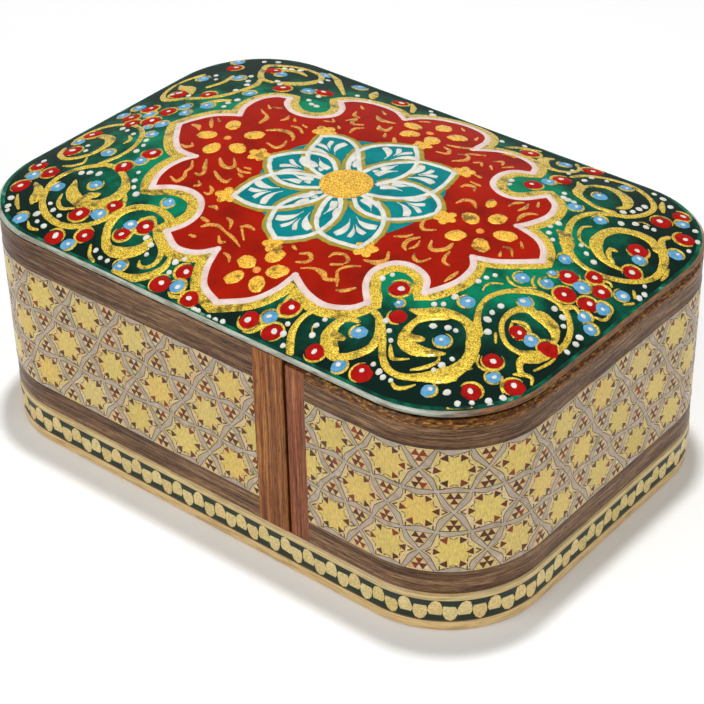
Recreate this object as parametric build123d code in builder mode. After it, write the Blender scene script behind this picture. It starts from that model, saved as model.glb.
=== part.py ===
"""Small inlaid jewellery box with a painted lid and a wrap-round pull-out drawer.

Millimetres. X runs along the long side, +X is the end that pulls out, -Y is the front.
Z is up, and z = 0 is the underside. The origin is the middle of the underside.
"""

import os

from build123d import *

# Walls, measured on the outside face of the inlay
WALL_LENGTH = 120.0
WALL_WIDTH = 83.0
CORNER_RADIUS = 20.0
WALL_THICKNESS = 5.0
VENEER = 0.9

# Heights of the bands, from the underside up
FOOT_STRIP_HEIGHT = 2.4
DARK_BAND_HEIGHT = 4.4
LEDGE_STRIP_HEIGHT = 1.6
BOTTOM_RAIL_HEIGHT = 4.9
INLAY_HEIGHT = 25.9
TOP_RAIL_HEIGHT = 6.3

# Plinth
PLINTH_OUT = 0.1
PLINTH_STRIP = 0.9
BASE_FELT = 0.8

# Lid, three layers: a board let in between the walls, an edging board and a crowned panel
LID_OUT = 0.1
LID_BOARD = 0.6
LID_PANEL_EDGE = 0.5
LID_PANEL_INSET = 0.1
LID_EDGE_BEVEL = 0.4
LID_CROWN = 7.0
CROWN_CONTOURS = 5
CROWN_LAST_STEP = 0.94
CROWN_END_FLAT = 0.5
UNDERBOARD = 2.0
UNDERBOARD_GAP = 0.5

# Seam between the fixed part and the drawer
SEAM_X = 20.6
SEAM_GAP = 0.6
CASE_STILE_WIDTH = 6.6
DRAWER_STILE_WIDTH = 4.3
STILE_EDGE = 0.25

# Running clearances of the drawer
SIDE_CLEARANCE = 0.3
SLIDE_CLEARANCE = 0.25
LID_CLEARANCE = 0.7
RAIL_BEVEL = 0.6

# Tray
TRAY_FLOOR = 2.2
TRAY_WALL = 2.0
TRAY_WALL_HEIGHT = 25.0
TRAY_EDGE_BEVEL = 0.6
VELVET = 0.7
VELVET_BELOW_EDGE = 0.8

# Travel, and the pin that ends it
DRAWER_TRAVEL = 58.0
STOP_PIN_RADIUS = 1.5
STOP_PIN_X = 12.0
STOP_PIN_DEPTH = 3.0
STOP_PIN_CLEARANCE = 0.3
STOP_GROOVE_DEPTH = 1.6

# Strips over the tray's sides that keep it level when it is out
KICKER_WIDTH = 3.0
KICKER_HEIGHT = 2.4
KICKER_SET_BACK = 1.0

# Heights worked out from the bands
dark_band_z = FOOT_STRIP_HEIGHT
ledge_strip_z = dark_band_z + DARK_BAND_HEIGHT
ledge_z = ledge_strip_z + LEDGE_STRIP_HEIGHT
inlay_z = ledge_z + BOTTOM_RAIL_HEIGHT
inlay_top_z = inlay_z + INLAY_HEIGHT
case_top_z = inlay_top_z + TOP_RAIL_HEIGHT
lid_panel_z = case_top_z + LID_BOARD
drawer_z = ledge_z + SLIDE_CLEARANCE
drawer_top_z = case_top_z - LID_CLEARANCE
tray_floor_top_z = drawer_z + TRAY_FLOOR
tray_wall_top_z = tray_floor_top_z + TRAY_WALL_HEIGHT
velvet_floor_top_z = tray_floor_top_z + VELVET

# Faces either side of the seam
case_end_x = SEAM_X - SEAM_GAP / 2
drawer_end_x = SEAM_X + SEAM_GAP / 2
case_inlay_end_x = case_end_x - CASE_STILE_WIDTH
drawer_inlay_end_x = drawer_end_x + DRAWER_STILE_WIDTH

# Distances in from the outside face of the walls
case_inside = WALL_THICKNESS
tray_outside = WALL_THICKNESS + SIDE_CLEARANCE
tray_inside = tray_outside + TRAY_WALL
velvet_inside = tray_inside + VELVET
underboard_edge = tray_outside + UNDERBOARD_GAP
plinth_back = PLINTH_OUT - PLINTH_STRIP
case_inside_y = WALL_WIDTH / 2 - case_inside
tray_outside_y = WALL_WIDTH / 2 - tray_outside
bend_x = WALL_LENGTH / 2 - CORNER_RADIUS


def outline(out, mode=Mode.ADD):
    """The rounded outline of the box, moved out from the wall's face by a distance."""
    RectangleRounded(
        WALL_LENGTH + 2 * out,
        WALL_WIDTH + 2 * out,
        CORNER_RADIUS + out,
        mode=mode,
    )


def band(outer, inner):
    """The flat ring between two outlines."""
    outline(outer)
    outline(inner, mode=Mode.SUBTRACT)


def crown_section(step):
    """One contour of the lid's crown; step runs from 0 at the rim to 1 at the ridge.

    Towards the ridge its ends get rounder, from the lid's own corners to nearly half circles,
    with a short flat left between them.
    """
    rim_length = WALL_LENGTH + 2 * (LID_OUT - LID_PANEL_INSET - LID_EDGE_BEVEL)
    rim_width = WALL_WIDTH + 2 * (LID_OUT - LID_PANEL_INSET - LID_EDGE_BEVEL)
    rim_roundness = 2 * CORNER_RADIUS / WALL_WIDTH
    width = rim_width * (1 - step)
    length = rim_length - rim_width * step
    roundness = rim_roundness + (1 - rim_roundness) * step
    radius = (width * roundness - CROWN_END_FLAT * step) / 2
    RectangleRounded(length, width, radius)


def crown_height(step):
    """Height of a contour over the rim: a circular rise that is level at the ridge."""
    return LID_CROWN * (1 - (1 - step) ** 2)


def keep_case_side(x):
    """Cut off everything on the drawer's side of x."""
    split(bisect_by=Plane.YZ.offset(x), keep=Keep.BOTTOM)


def keep_drawer_side(x):
    """Cut off everything on the fixed side of x."""
    split(bisect_by=Plane.YZ.offset(x), keep=Keep.TOP)


def stile_section(x_low, x_high, side):
    """The section of an upright strip in the veneer's layer, at the front (-1) or back (+1)."""
    face_y = side * (WALL_WIDTH / 2 - VENEER / 2)
    with Locations(((x_low + x_high) / 2, face_y)):
        Rectangle(x_high - x_low, VENEER)


# Plinth and base

with BuildPart() as base_felt:
    with BuildSketch(Plane.XY):
        outline(plinth_back)
    extrude(amount=BASE_FELT)

with BuildPart() as base_board:
    with BuildSketch(Plane.XY.offset(BASE_FELT)):
        outline(plinth_back)
    extrude(amount=ledge_z - BASE_FELT)
    with Locations((STOP_PIN_X, 0, ledge_z)):
        Hole(STOP_PIN_RADIUS, depth=STOP_PIN_DEPTH)

with BuildPart() as plinth_foot_strip:
    with BuildSketch(Plane.XY):
        band(PLINTH_OUT, plinth_back)
    extrude(amount=FOOT_STRIP_HEIGHT)
    foot_edge = plinth_foot_strip.faces().sort_by(Axis.Z)[0].outer_wire().edges()
    chamfer(foot_edge, PLINTH_STRIP / 3)

with BuildPart() as plinth_dark_band:
    with BuildSketch(Plane.XY.offset(dark_band_z)):
        band(PLINTH_OUT, plinth_back)
    extrude(amount=DARK_BAND_HEIGHT)

with BuildPart() as plinth_ledge_strip:
    with BuildSketch(Plane.XY.offset(ledge_strip_z)):
        band(PLINTH_OUT, plinth_back)
    extrude(amount=LEDGE_STRIP_HEIGHT)
    ledge_edge = plinth_ledge_strip.faces().sort_by(Axis.Z)[-1].outer_wire().edges()
    chamfer(ledge_edge, PLINTH_STRIP / 2)

with BuildPart() as stop_pin:
    with BuildSketch(Plane.XY.offset(ledge_z - STOP_PIN_DEPTH)):
        with Locations((STOP_PIN_X, 0)):
            Circle(STOP_PIN_RADIUS)
    pin_top_z = drawer_z + STOP_GROOVE_DEPTH - STOP_PIN_CLEARANCE
    extrude(amount=pin_top_z - ledge_z + STOP_PIN_DEPTH)
    chamfer(stop_pin.edges().group_by(Axis.Z)[-1], STOP_PIN_RADIUS / 5)

# Fixed part of the walls

with BuildPart() as case_shell:
    with BuildSketch(Plane.XY.offset(ledge_z)):
        band(-VENEER, -case_inside)
    extrude(amount=case_top_z - ledge_z)
    keep_case_side(case_end_x)

with BuildPart() as case_inlay_panel:
    with BuildSketch(Plane.XY.offset(inlay_z)):
        band(0, -VENEER)
    extrude(amount=INLAY_HEIGHT)
    keep_case_side(case_inlay_end_x)

with BuildPart() as case_bottom_rail:
    with BuildSketch(Plane.XY.offset(ledge_z)):
        band(0, -VENEER)
    extrude(amount=BOTTOM_RAIL_HEIGHT)
    keep_case_side(case_inlay_end_x)

with BuildPart() as case_top_rail:
    with BuildSketch(Plane.XY.offset(inlay_top_z)):
        band(0, -VENEER)
    extrude(amount=TOP_RAIL_HEIGHT)
    keep_case_side(case_inlay_end_x)

with BuildPart() as case_front_stile:
    with BuildSketch(Plane.XY.offset(ledge_z)):
        stile_section(case_inlay_end_x, case_end_x, -1)
    extrude(amount=case_top_z - ledge_z)
    seam_edge = case_front_stile.faces().sort_by(Axis.Y)[0].edges().sort_by(Axis.X)[-1]
    chamfer(seam_edge, STILE_EDGE)

with BuildPart() as case_back_stile:
    with BuildSketch(Plane.XY.offset(ledge_z)):
        stile_section(case_inlay_end_x, case_end_x, 1)
    extrude(amount=case_top_z - ledge_z)
    seam_edge = case_back_stile.faces().sort_by(Axis.Y)[-1].edges().sort_by(Axis.X)[-1]
    chamfer(seam_edge, STILE_EDGE)

# Strips inside the fixed part, over the tray's sides
kicker_z = tray_wall_top_z + SLIDE_CLEARANCE
kicker_low_x = -bend_x
kicker_high_x = case_end_x - KICKER_SET_BACK

kickers = {}
for kicker_name, side in (("front_kicker_strip", -1), ("back_kicker_strip", 1)):
    with BuildPart() as kicker_strip:
        with BuildSketch(Plane.XY.offset(kicker_z)):
            middle_y = side * (case_inside_y - KICKER_WIDTH / 2)
            with Locations(((kicker_low_x + kicker_high_x) / 2, middle_y)):
                Rectangle(kicker_high_x - kicker_low_x, KICKER_WIDTH)
        extrude(amount=KICKER_HEIGHT)
        inner_face = kicker_strip.faces().sort_by(Axis.Y)[0 if side > 0 else -1]
        fillet(inner_face.edges().filter_by(Axis.X).sort_by(Axis.Z)[-1], KICKER_HEIGHT / 4)
    kickers[kicker_name] = kicker_strip

# Lid

with BuildPart() as lid_underboard:
    with BuildSketch(Plane.XY.offset(case_top_z - UNDERBOARD)):
        outline(-underboard_edge)
    extrude(amount=UNDERBOARD)
    chamfer(lid_underboard.faces().sort_by(Axis.Z)[0].edges(), UNDERBOARD / 4)

with BuildPart() as lid_board:
    with BuildSketch(Plane.XY.offset(case_top_z)):
        outline(LID_OUT)
    extrude(amount=LID_BOARD)
    chamfer(lid_board.faces().sort_by(Axis.Z)[0].edges(), LID_EDGE_BEVEL)

with BuildPart() as lid_panel:
    with BuildSketch(Plane.XY.offset(lid_panel_z)):
        outline(LID_OUT - LID_PANEL_INSET)
    extrude(amount=LID_PANEL_EDGE)
    chamfer(lid_panel.faces().sort_by(Axis.Z)[-1].edges(), LID_EDGE_BEVEL)
    # The crown rises from the panel's top edge to a level ridge
    for contour in range(CROWN_CONTOURS):
        step = CROWN_LAST_STEP * contour / (CROWN_CONTOURS - 1)
        with BuildSketch(Plane.XY.offset(lid_panel_z + LID_PANEL_EDGE + crown_height(step))):
            crown_section(step)
    loft(ruled=True)

# Drawer front, which wraps round both corners of the +X end

with BuildPart() as drawer_shell:
    with BuildSketch(Plane.XY.offset(drawer_z)):
        band(-VENEER, -tray_outside)
    extrude(amount=drawer_top_z - drawer_z)
    keep_drawer_side(drawer_end_x)

with BuildPart() as drawer_inlay_panel:
    with BuildSketch(Plane.XY.offset(inlay_z)):
        band(0, -VENEER)
    extrude(amount=INLAY_HEIGHT)
    keep_drawer_side(drawer_inlay_end_x)

with BuildPart() as drawer_bottom_rail:
    with BuildSketch(Plane.XY.offset(drawer_z)):
        band(0, -VENEER)
    extrude(amount=inlay_z - drawer_z)
    keep_drawer_side(drawer_inlay_end_x)

with BuildPart() as drawer_top_rail:
    with BuildSketch(Plane.XY.offset(inlay_top_z)):
        band(0, -VENEER)
    extrude(amount=drawer_top_z - inlay_top_z)
    chamfer(drawer_top_rail.faces().sort_by(Axis.Z)[-1].outer_wire().edges(), RAIL_BEVEL)
    keep_drawer_side(drawer_inlay_end_x)

with BuildPart() as drawer_front_stile:
    with BuildSketch(Plane.XY.offset(drawer_z)):
        stile_section(drawer_end_x, drawer_inlay_end_x, -1)
    extrude(amount=drawer_top_z - drawer_z)
    outer_face = drawer_front_stile.faces().sort_by(Axis.Y)[0]
    chamfer(outer_face.edges().sort_by(Axis.X)[0], STILE_EDGE)

with BuildPart() as drawer_back_stile:
    with BuildSketch(Plane.XY.offset(drawer_z)):
        stile_section(drawer_end_x, drawer_inlay_end_x, 1)
    extrude(amount=drawer_top_z - drawer_z)
    outer_face = drawer_back_stile.faces().sort_by(Axis.Y)[-1]
    chamfer(outer_face.edges().sort_by(Axis.X)[0], STILE_EDGE)

# Tray, fixed to the drawer front

with BuildPart() as tray_floor:
    with BuildSketch(Plane.XY.offset(drawer_z)):
        outline(-tray_outside)
    extrude(amount=TRAY_FLOOR)
    # Groove in the underside for the stop pin, as long as the travel
    with BuildSketch(Plane.XY.offset(drawer_z)):
        with Locations((STOP_PIN_X - DRAWER_TRAVEL / 2, 0)):
            SlotCenterToCenter(
                DRAWER_TRAVEL,
                2 * (STOP_PIN_RADIUS + STOP_PIN_CLEARANCE),
            )
    extrude(amount=STOP_GROOVE_DEPTH, mode=Mode.SUBTRACT)

tray_sides = {}
for side_name, side in (("tray_front_side", -1), ("tray_back_side", 1)):
    with BuildPart() as tray_side:
        with BuildSketch(Plane.XY.offset(tray_floor_top_z)):
            with Locations((0, side * (tray_outside_y - TRAY_WALL / 2))):
                Rectangle(2 * bend_x, TRAY_WALL)
        extrude(amount=TRAY_WALL_HEIGHT)
        top_face = tray_side.faces().sort_by(Axis.Z)[-1]
        chamfer(top_face.edges().filter_by(Axis.X), TRAY_EDGE_BEVEL)
    tray_sides[side_name] = tray_side

with BuildPart() as tray_rear_bend:
    with BuildSketch(Plane.XY.offset(tray_floor_top_z)):
        band(-tray_outside, -tray_inside)
    extrude(amount=TRAY_WALL_HEIGHT)
    chamfer(tray_rear_bend.faces().sort_by(Axis.Z)[-1].edges(), TRAY_EDGE_BEVEL)
    keep_case_side(-bend_x)

with BuildPart() as tray_nose_bend:
    with BuildSketch(Plane.XY.offset(tray_floor_top_z)):
        band(-tray_outside, -tray_inside)
    extrude(amount=TRAY_WALL_HEIGHT)
    chamfer(tray_nose_bend.faces().sort_by(Axis.Z)[-1].edges(), TRAY_EDGE_BEVEL)
    keep_drawer_side(bend_x)

with BuildPart() as tray_floor_velvet:
    with BuildSketch(Plane.XY.offset(tray_floor_top_z)):
        outline(-tray_inside)
    extrude(amount=VELVET)

with BuildPart() as tray_wall_velvet:
    with BuildSketch(Plane.XY.offset(velvet_floor_top_z)):
        band(-tray_inside, -velvet_inside)
    extrude(amount=tray_wall_top_z - VELVET_BELOW_EDGE - velvet_floor_top_z)

# Write every piece under its own name

pieces = {
    "base_felt": base_felt,
    "base_board": base_board,
    "plinth_foot_strip": plinth_foot_strip,
    "plinth_dark_band": plinth_dark_band,
    "plinth_ledge_strip": plinth_ledge_strip,
    "stop_pin": stop_pin,
    "case_shell": case_shell,
    "case_inlay_panel": case_inlay_panel,
    "case_bottom_rail": case_bottom_rail,
    "case_top_rail": case_top_rail,
    "case_front_stile": case_front_stile,
    "case_back_stile": case_back_stile,
    **kickers,
    "lid_underboard": lid_underboard,
    "lid_board": lid_board,
    "lid_panel": lid_panel,
    "drawer_shell": drawer_shell,
    "drawer_inlay_panel": drawer_inlay_panel,
    "drawer_bottom_rail": drawer_bottom_rail,
    "drawer_top_rail": drawer_top_rail,
    "drawer_front_stile": drawer_front_stile,
    "drawer_back_stile": drawer_back_stile,
    "tray_floor": tray_floor,
    **tray_sides,
    "tray_rear_bend": tray_rear_bend,
    "tray_nose_bend": tray_nose_bend,
    "tray_floor_velvet": tray_floor_velvet,
    "tray_wall_velvet": tray_wall_velvet,
}

os.makedirs("parts", exist_ok=True)
for label, piece in pieces.items():
    piece.part.label = label
    export_step(piece.part, f"parts/{label}.step")

print("travel of the drawer:", DRAWER_TRAVEL, "mm")
print("pieces:", len(pieces))
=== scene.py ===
"""Looks of the inlaid jewellery box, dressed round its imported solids.

Sizes are in millimetres until a mesh is made. The walls are drawn on an unrolled strip:
s runs along the wall's face, starting at the middle of the front and turning the first
corner to the drawer's end, and z is the height. The lid is drawn flat, in x and y, and
every stroke of paint is then laid on its crown.
"""

import math
import random

import bmesh
import bpy
import numpy as np
from mathutils import Matrix, Vector


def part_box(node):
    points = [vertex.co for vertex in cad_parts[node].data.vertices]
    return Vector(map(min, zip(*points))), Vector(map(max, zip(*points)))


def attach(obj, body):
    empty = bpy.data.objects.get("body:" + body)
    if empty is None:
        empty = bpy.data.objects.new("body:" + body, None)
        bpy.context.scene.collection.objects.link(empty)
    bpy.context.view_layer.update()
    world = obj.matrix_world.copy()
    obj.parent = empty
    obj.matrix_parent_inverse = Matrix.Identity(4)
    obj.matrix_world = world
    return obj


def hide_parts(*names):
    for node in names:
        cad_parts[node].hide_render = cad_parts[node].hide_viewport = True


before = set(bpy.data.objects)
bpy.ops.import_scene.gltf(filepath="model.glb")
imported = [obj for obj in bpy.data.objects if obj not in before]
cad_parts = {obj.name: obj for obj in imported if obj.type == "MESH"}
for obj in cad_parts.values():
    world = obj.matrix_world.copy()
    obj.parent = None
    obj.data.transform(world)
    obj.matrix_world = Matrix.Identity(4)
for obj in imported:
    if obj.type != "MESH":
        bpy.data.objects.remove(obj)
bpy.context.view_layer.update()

MM = 0.001

# Sizes read from the solids


def node_box(name):
    """Lowest and highest corners of a solid, in millimetres."""
    low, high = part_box(name)
    return low / MM, high / MM


inlay_low, inlay_high = node_box("case_inlay_panel")
drawer_inlay_low, drawer_inlay_high = node_box("drawer_inlay_panel")
lid_low, lid_high = node_box("lid_panel")
plinth_low, plinth_high = node_box("plinth_dark_band")

WALL_LENGTH = drawer_inlay_high.x - inlay_low.x
WALL_WIDTH = inlay_high.y - inlay_low.y
# Upright corners of the walls, as in the part
CORNER_RADIUS = 20.0
PLINTH_OUT = plinth_high.x - WALL_LENGTH / 2
CORNER_ARC = math.pi / 2 * CORNER_RADIUS
FRONT_FLAT = WALL_LENGTH - 2 * CORNER_RADIUS
SIDE_FLAT = WALL_WIDTH - 2 * CORNER_RADIUS
WALL_ROUND = 2 * (FRONT_FLAT + SIDE_FLAT) + 4 * CORNER_ARC

# How far each layer stands off the surface that carries it
VENEER_LAYER = 0.02
PAINT_LAYER = 0.025
# The places of the paint were read as if it lay on the crown itself, and a mark that stands
# 1 mm over the crown seems moved by this much the other way
READ_SHIFT = (0.915, -1.095)


def moved(place, degrees, along, across=0.0):
    """A place moved along a direction, and to the left of it."""
    turn = math.radians(degrees)
    return (place[0] + along * math.cos(turn) - across * math.sin(turn),
            place[1] + along * math.sin(turn) + across * math.cos(turn))


def colour(text):
    """A linear colour from an sRGB hex value."""
    channels = [int(text[i:i + 2], 16) / 255 for i in (1, 3, 5)]
    linear = [c / 12.92 if c <= 0.04045 else ((c + 0.055) / 1.055) ** 2.4 for c in channels]
    return (*linear, 1.0)


def set_inputs(tree, node, inputs):
    """Give a node's sockets their values, or the links that feed them."""
    for name, value in inputs.items():
        if isinstance(value, bpy.types.NodeSocket):
            tree.links.new(value, node.inputs[name])
        else:
            node.inputs[name].default_value = value


def add_node(tree, kind, settings=None, inputs=None):
    """Add a shader node with its settings, its values and its links."""
    node = tree.nodes.new(kind)
    for name, value in (settings or {}).items():
        if name == "stops":
            ramp = node.color_ramp
            while len(ramp.elements) < len(value):
                ramp.elements.new(0.5)
            for element, (place, shade) in zip(ramp.elements, value):
                element.position = place
                element.color = colour(shade)
        else:
            setattr(node, name, value)
    set_inputs(tree, node, inputs or {})
    return node


def new_finish(name, sockets):
    """A material with one principled shader and the values of its own sockets."""
    material = bpy.data.materials.new(name)
    material.use_nodes = True
    tree = material.node_tree
    shader = tree.nodes["Principled BSDF"]
    set_inputs(tree, shader, sockets)
    return material, tree, shader


def grained(tree, size, detail=3.0, roughness=0.55, shift=0.0):
    """Noise over the object, with grains of this size in millimetres, or of one for x, y and z each."""
    lengths = size if isinstance(size, tuple) else (size, size, size)
    place = add_node(tree, "ShaderNodeTexCoord")
    stretch = add_node(tree, "ShaderNodeMapping", {}, {
        "Vector": place.outputs["Object"],
        "Location": (shift, shift, shift),
        "Scale": tuple(1 / (MM * length) for length in lengths),
    })
    noise = add_node(tree, "ShaderNodeTexNoise", {}, {
        "Vector": stretch.outputs["Vector"],
        "Scale": 1.0,
        "Detail": detail,
        "Roughness": roughness,
    })
    return noise.outputs["Fac"]


# A colour mix shares the names of its sockets with its other kinds, so they go by number
MIX_FACTOR, MIX_FIRST, MIX_SECOND, MIX_RESULT = 0, 6, 7, 2
MULTIPLIED = {"data_type": "RGBA", "blend_type": "MULTIPLY"}

# Materials of the walls and the plinth


def lacquered_walnut(name, upright, wide, tones, varnish_from=None):
    """Walnut strip, sawn and lacquered: fine streaks and open pores under a thin satin coat."""
    material, tree, shader = new_finish(name, {
        "Roughness": 0.55, "IOR": 1.5, "Specular IOR Level": 0.12, "Coat Weight": 0.22, "Coat Roughness": 0.2,
    })
    # Streaks are longer along the upright strips
    long = 16.0 if upright else 9.0
    size = (wide, wide, long) if upright else (long, long, wide)
    pores = (wide * 0.4, wide * 0.4, long * 0.16) if upright else (long * 0.2, long * 0.2, wide * 0.4)
    streaks = grained(tree, size, 8.0, 0.72)
    dark, brown, light, pale = tones
    tone = add_node(tree, "ShaderNodeValToRGB", {
        "stops": [(0.34, dark), (0.44, brown), (0.52, light), (0.62, pale), (0.72, brown)],
    }, {"Fac": streaks})
    pitted = grained(tree, pores, 3.0, 0.6, 2.3)
    marks = add_node(tree, "ShaderNodeValToRGB", {
        "stops": [(0.33, "#544234"), (0.43, "#E8E0DA"), (0.52, "#FFFFFF")],
    }, {"Fac": pitted})
    broad = grained(tree, tuple(g * 4 for g in size), 2.0, 0.5, 3.7)
    shade = add_node(tree, "ShaderNodeValToRGB", {
        "stops": [(0.35, "#B9ADA2"), (0.6, "#FFFFFF")],
    }, {"Fac": broad})
    pored = add_node(tree, "ShaderNodeMix", MULTIPLIED, {
        MIX_FACTOR: 1.0, MIX_FIRST: tone.outputs["Color"], MIX_SECOND: marks.outputs["Color"],
    })
    wood = add_node(tree, "ShaderNodeMix", MULTIPLIED, {
        MIX_FACTOR: 1.0, MIX_FIRST: pored.outputs[MIX_RESULT], MIX_SECOND: shade.outputs["Color"],
    })
    if varnish_from:
        # The noise lifts the heights by 0.65 mm on average, and the edge of the varnish with them
        place = add_node(tree, "ShaderNodeTexCoord")
        split = add_node(tree, "ShaderNodeSeparateXYZ", {}, {"Vector": place.outputs["Object"]})
        ragged = grained(tree, (3.0, 3.0, 1.2), 4.0, 0.65, 6.0)
        wavy = add_node(tree, "ShaderNodeMath", {"operation": "MULTIPLY_ADD"}, {
            0: ragged, 1: 1.3 * MM, 2: split.outputs["Z"],
        })
        amount = add_node(tree, "ShaderNodeMapRange", {}, {
            "Value": wavy.outputs["Value"],
            "From Min": (varnish_from + 0.55) * MM,
            "From Max": (varnish_from + 0.75) * MM,
        })
        chips = grained(tree, (1.2, 1.2, 0.3), 4.0, 0.7, 1.0)
        amber = add_node(tree, "ShaderNodeValToRGB", {
            "stops": [(0.36, "#2A1404"), (0.48, "#683A0A"), (0.58, "#A06818"), (0.7, "#E4B468")],
        }, {"Fac": chips})
        wood = add_node(tree, "ShaderNodeMix", {"data_type": "RGBA"}, {
            MIX_FACTOR: amount.outputs["Result"],
            MIX_FIRST: wood.outputs[MIX_RESULT],
            MIX_SECOND: amber.outputs["Color"],
        })
    bump = add_node(tree, "ShaderNodeBump", {}, {"Height": streaks, "Distance": 0.06 * MM, "Strength": 0.7})
    set_inputs(tree, shader, {"Base Color": wood.outputs[MIX_RESULT], "Normal": bump.outputs["Normal"]})
    return material


RAIL_GRAIN, STILE_GRAIN = 0.36, 0.4
# Level strips: grey brown with fine dark lines along the wall
RAIL_TONES = ("#2E1E11", "#6E4F37", "#936D4B", "#B89368")
walnut_rail = lacquered_walnut("lacquered_walnut_level", False, RAIL_GRAIN, RAIL_TONES)
# The drawer's upper strip has amber varnish run along its top edge
VARNISH_RUN_Z = 43.5
walnut_varnished = lacquered_walnut("lacquered_walnut_varnish_run", False, RAIL_GRAIN, RAIL_TONES,
                                    VARNISH_RUN_Z)
# Upright strips: redder, with longer streaks; the one on the left of the gap is more orange
STILE_TONES = ("#4E2410", "#8E4A26", "#AE643C", "#CC8656")
ORANGE_TONES = ("#522A10", "#94521F", "#B67034", "#D4964E")
walnut_stile = lacquered_walnut("lacquered_walnut_upright", True, STILE_GRAIN, STILE_TONES)
walnut_orange = lacquered_walnut("lacquered_walnut_orange", True, STILE_GRAIN, ORANGE_TONES)


def tile_finish(name, stops, sockets, mottle=0.8, vary=0.16):
    """A thin slice of one material, where every slice has its own shade."""
    material, tree, shader = new_finish(name, sockets)
    place = add_node(tree, "ShaderNodeNewGeometry")
    own = add_node(tree, "ShaderNodeValToRGB", {"stops": stops},
                   {"Fac": place.outputs["Random Per Island"]})
    cloud = grained(tree, mottle, 3.0, 0.6)
    shade = add_node(tree, "ShaderNodeMapRange", {}, {
        "Value": cloud, "From Min": 0.3, "From Max": 0.7, "To Min": 1 - vary, "To Max": 1 + vary / 2,
    })
    toned = add_node(tree, "ShaderNodeVectorMath", {"operation": "SCALE"}, {
        "Vector": own.outputs["Color"], "Scale": shade.outputs["Result"],
    })
    bump = add_node(tree, "ShaderNodeBump", {}, {"Height": cloud, "Distance": 0.02 * MM, "Strength": 0.4})
    set_inputs(tree, shader, {"Base Color": toned.outputs["Vector"], "Normal": bump.outputs["Normal"]})
    return material


# Satin lacquer over thin slices
LACQUER = {
    "Roughness": 0.55, "IOR": 1.5, "Specular IOR Level": 0.1, "Coat Weight": 0.4, "Coat Roughness": 0.14,
}

# Camel bone straps: grey and pinkish slices under lacquer
bone_strap = tile_finish("camel_bone_slices", [
    (0.0, "#B0A38C"), (0.3, "#C4AF9A"), (0.6, "#CDB3A0"), (0.85, "#BCB398"), (1.0, "#D6C4B0"),
], LACQUER, 1.6, 0.14)
# Their darker cut edges
strap_edge = tile_finish("bone_slice_edges", [(0.0, "#3E2A18"), (1.0, "#5E442C")], LACQUER, 1.0, 0.2)
# Brass-coloured wood of the stars, cut across, with fine pale streaks
star_wood = tile_finish("orange_wood_star_slices", [
    (0.0, "#E4C666"), (0.4, "#F4D878"), (0.7, "#F6D06C"), (1.0, "#EDD480"),
], LACQUER, (0.22, 0.22, 0.8), 0.3)
# Small pale triangles of the rods, from gold to pinkish
pale_wood = tile_finish("pale_wood_rod_ends", [
    (0.0, "#E6CC7C"), (0.4, "#EED590"), (0.7, "#EEC894"), (0.9, "#F0DAA8"), (1.0, "#E0B272"),
], LACQUER, 0.5, 0.14)
# Dark triangles of the rods, ebony brown with some red ones
dark_wood = tile_finish("dark_wood_rod_ends", [
    (0.0, "#4A2208"), (0.45, "#622E0A"), (0.7, "#6C2E0A"), (0.84, "#9A3C10"), (1.0, "#7E300A"),
], LACQUER, 0.5, 0.2)
# Glue line between the slices
glue_line = tile_finish("hide_glue_line", [(0.0, "#5C422A"), (1.0, "#70522F")], LACQUER, 1.0, 0.2)


def striped_strip(name, lines, sockets, grain):
    """Layered wooden strip: level lines of colour at their heights, with the wood's grain."""
    material, tree, shader = new_finish(name, sockets)
    place = add_node(tree, "ShaderNodeTexCoord")
    split = add_node(tree, "ShaderNodeSeparateXYZ", {}, {"Vector": place.outputs["Object"]})
    low, high = lines[0][0], lines[-1][0]
    height = add_node(tree, "ShaderNodeMapRange", {}, {
        "Value": split.outputs["Z"], "From Min": low * MM, "From Max": high * MM,
    })
    stops = [((z - low) / (high - low), shade) for z, shade in lines]
    bands = add_node(tree, "ShaderNodeValToRGB", {"stops": stops}, {"Fac": height.outputs["Result"]})
    streaks = grained(tree, grain, 4.0, 0.6)
    shade = add_node(tree, "ShaderNodeValToRGB", {
        "stops": [(0.30, "#CDBFAE"), (0.55, "#FFFFFF")],
    }, {"Fac": streaks})
    wood = add_node(tree, "ShaderNodeMix", MULTIPLIED, {
        MIX_FACTOR: 1.0, MIX_FIRST: bands.outputs["Color"], MIX_SECOND: shade.outputs["Color"],
    })
    bump = add_node(tree, "ShaderNodeBump", {}, {"Height": streaks, "Distance": 0.03 * MM, "Strength": 0.5})
    set_inputs(tree, shader, {"Base Color": wood.outputs[MIX_RESULT], "Normal": bump.outputs["Normal"]})
    return material


STRIP_GRAIN = (5.0, 5.0, 0.35)
# Foot strip: orange-cream wood with a dark reddish line above it
foot_wood = striped_strip("pale_foot_strip", [
    (0.0, "#E8B470"), (0.35, "#FFDA98"), (1.9, "#FFE2A4"), (2.1, "#F4DA98"),
    (2.18, "#8A4A2C"), (2.4, "#6A4A32"),
], LACQUER, STRIP_GRAIN)
# Ledge strip: cream wood with thin brown lines, and painted shade: a dark brown band along its top, where the
# wall stands on it
ledge_wood = striped_strip("cream_ledge_strip", [
    (6.8, "#A08850"), (6.92, "#E8CE90"), (7.9, "#EED69C"), (7.96, "#C0A468"), (8.02, "#E8CE94"),
    # The last two stops are painted shade at the joint with the wall above
    (8.22, "#E2C084"), (8.28, "#7E4A28"), (8.4, "#5A3420"),
], LACQUER, STRIP_GRAIN)
# Dark band of dyed green wood
band_wood = striped_strip("dyed_green_band", [
    (2.4, "#7A7C50"), (2.48, "#182219"), (2.7, "#24382C"), (6.5, "#22342B"), (6.8, "#141E18"),
], LACQUER, STRIP_GRAIN)
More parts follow.
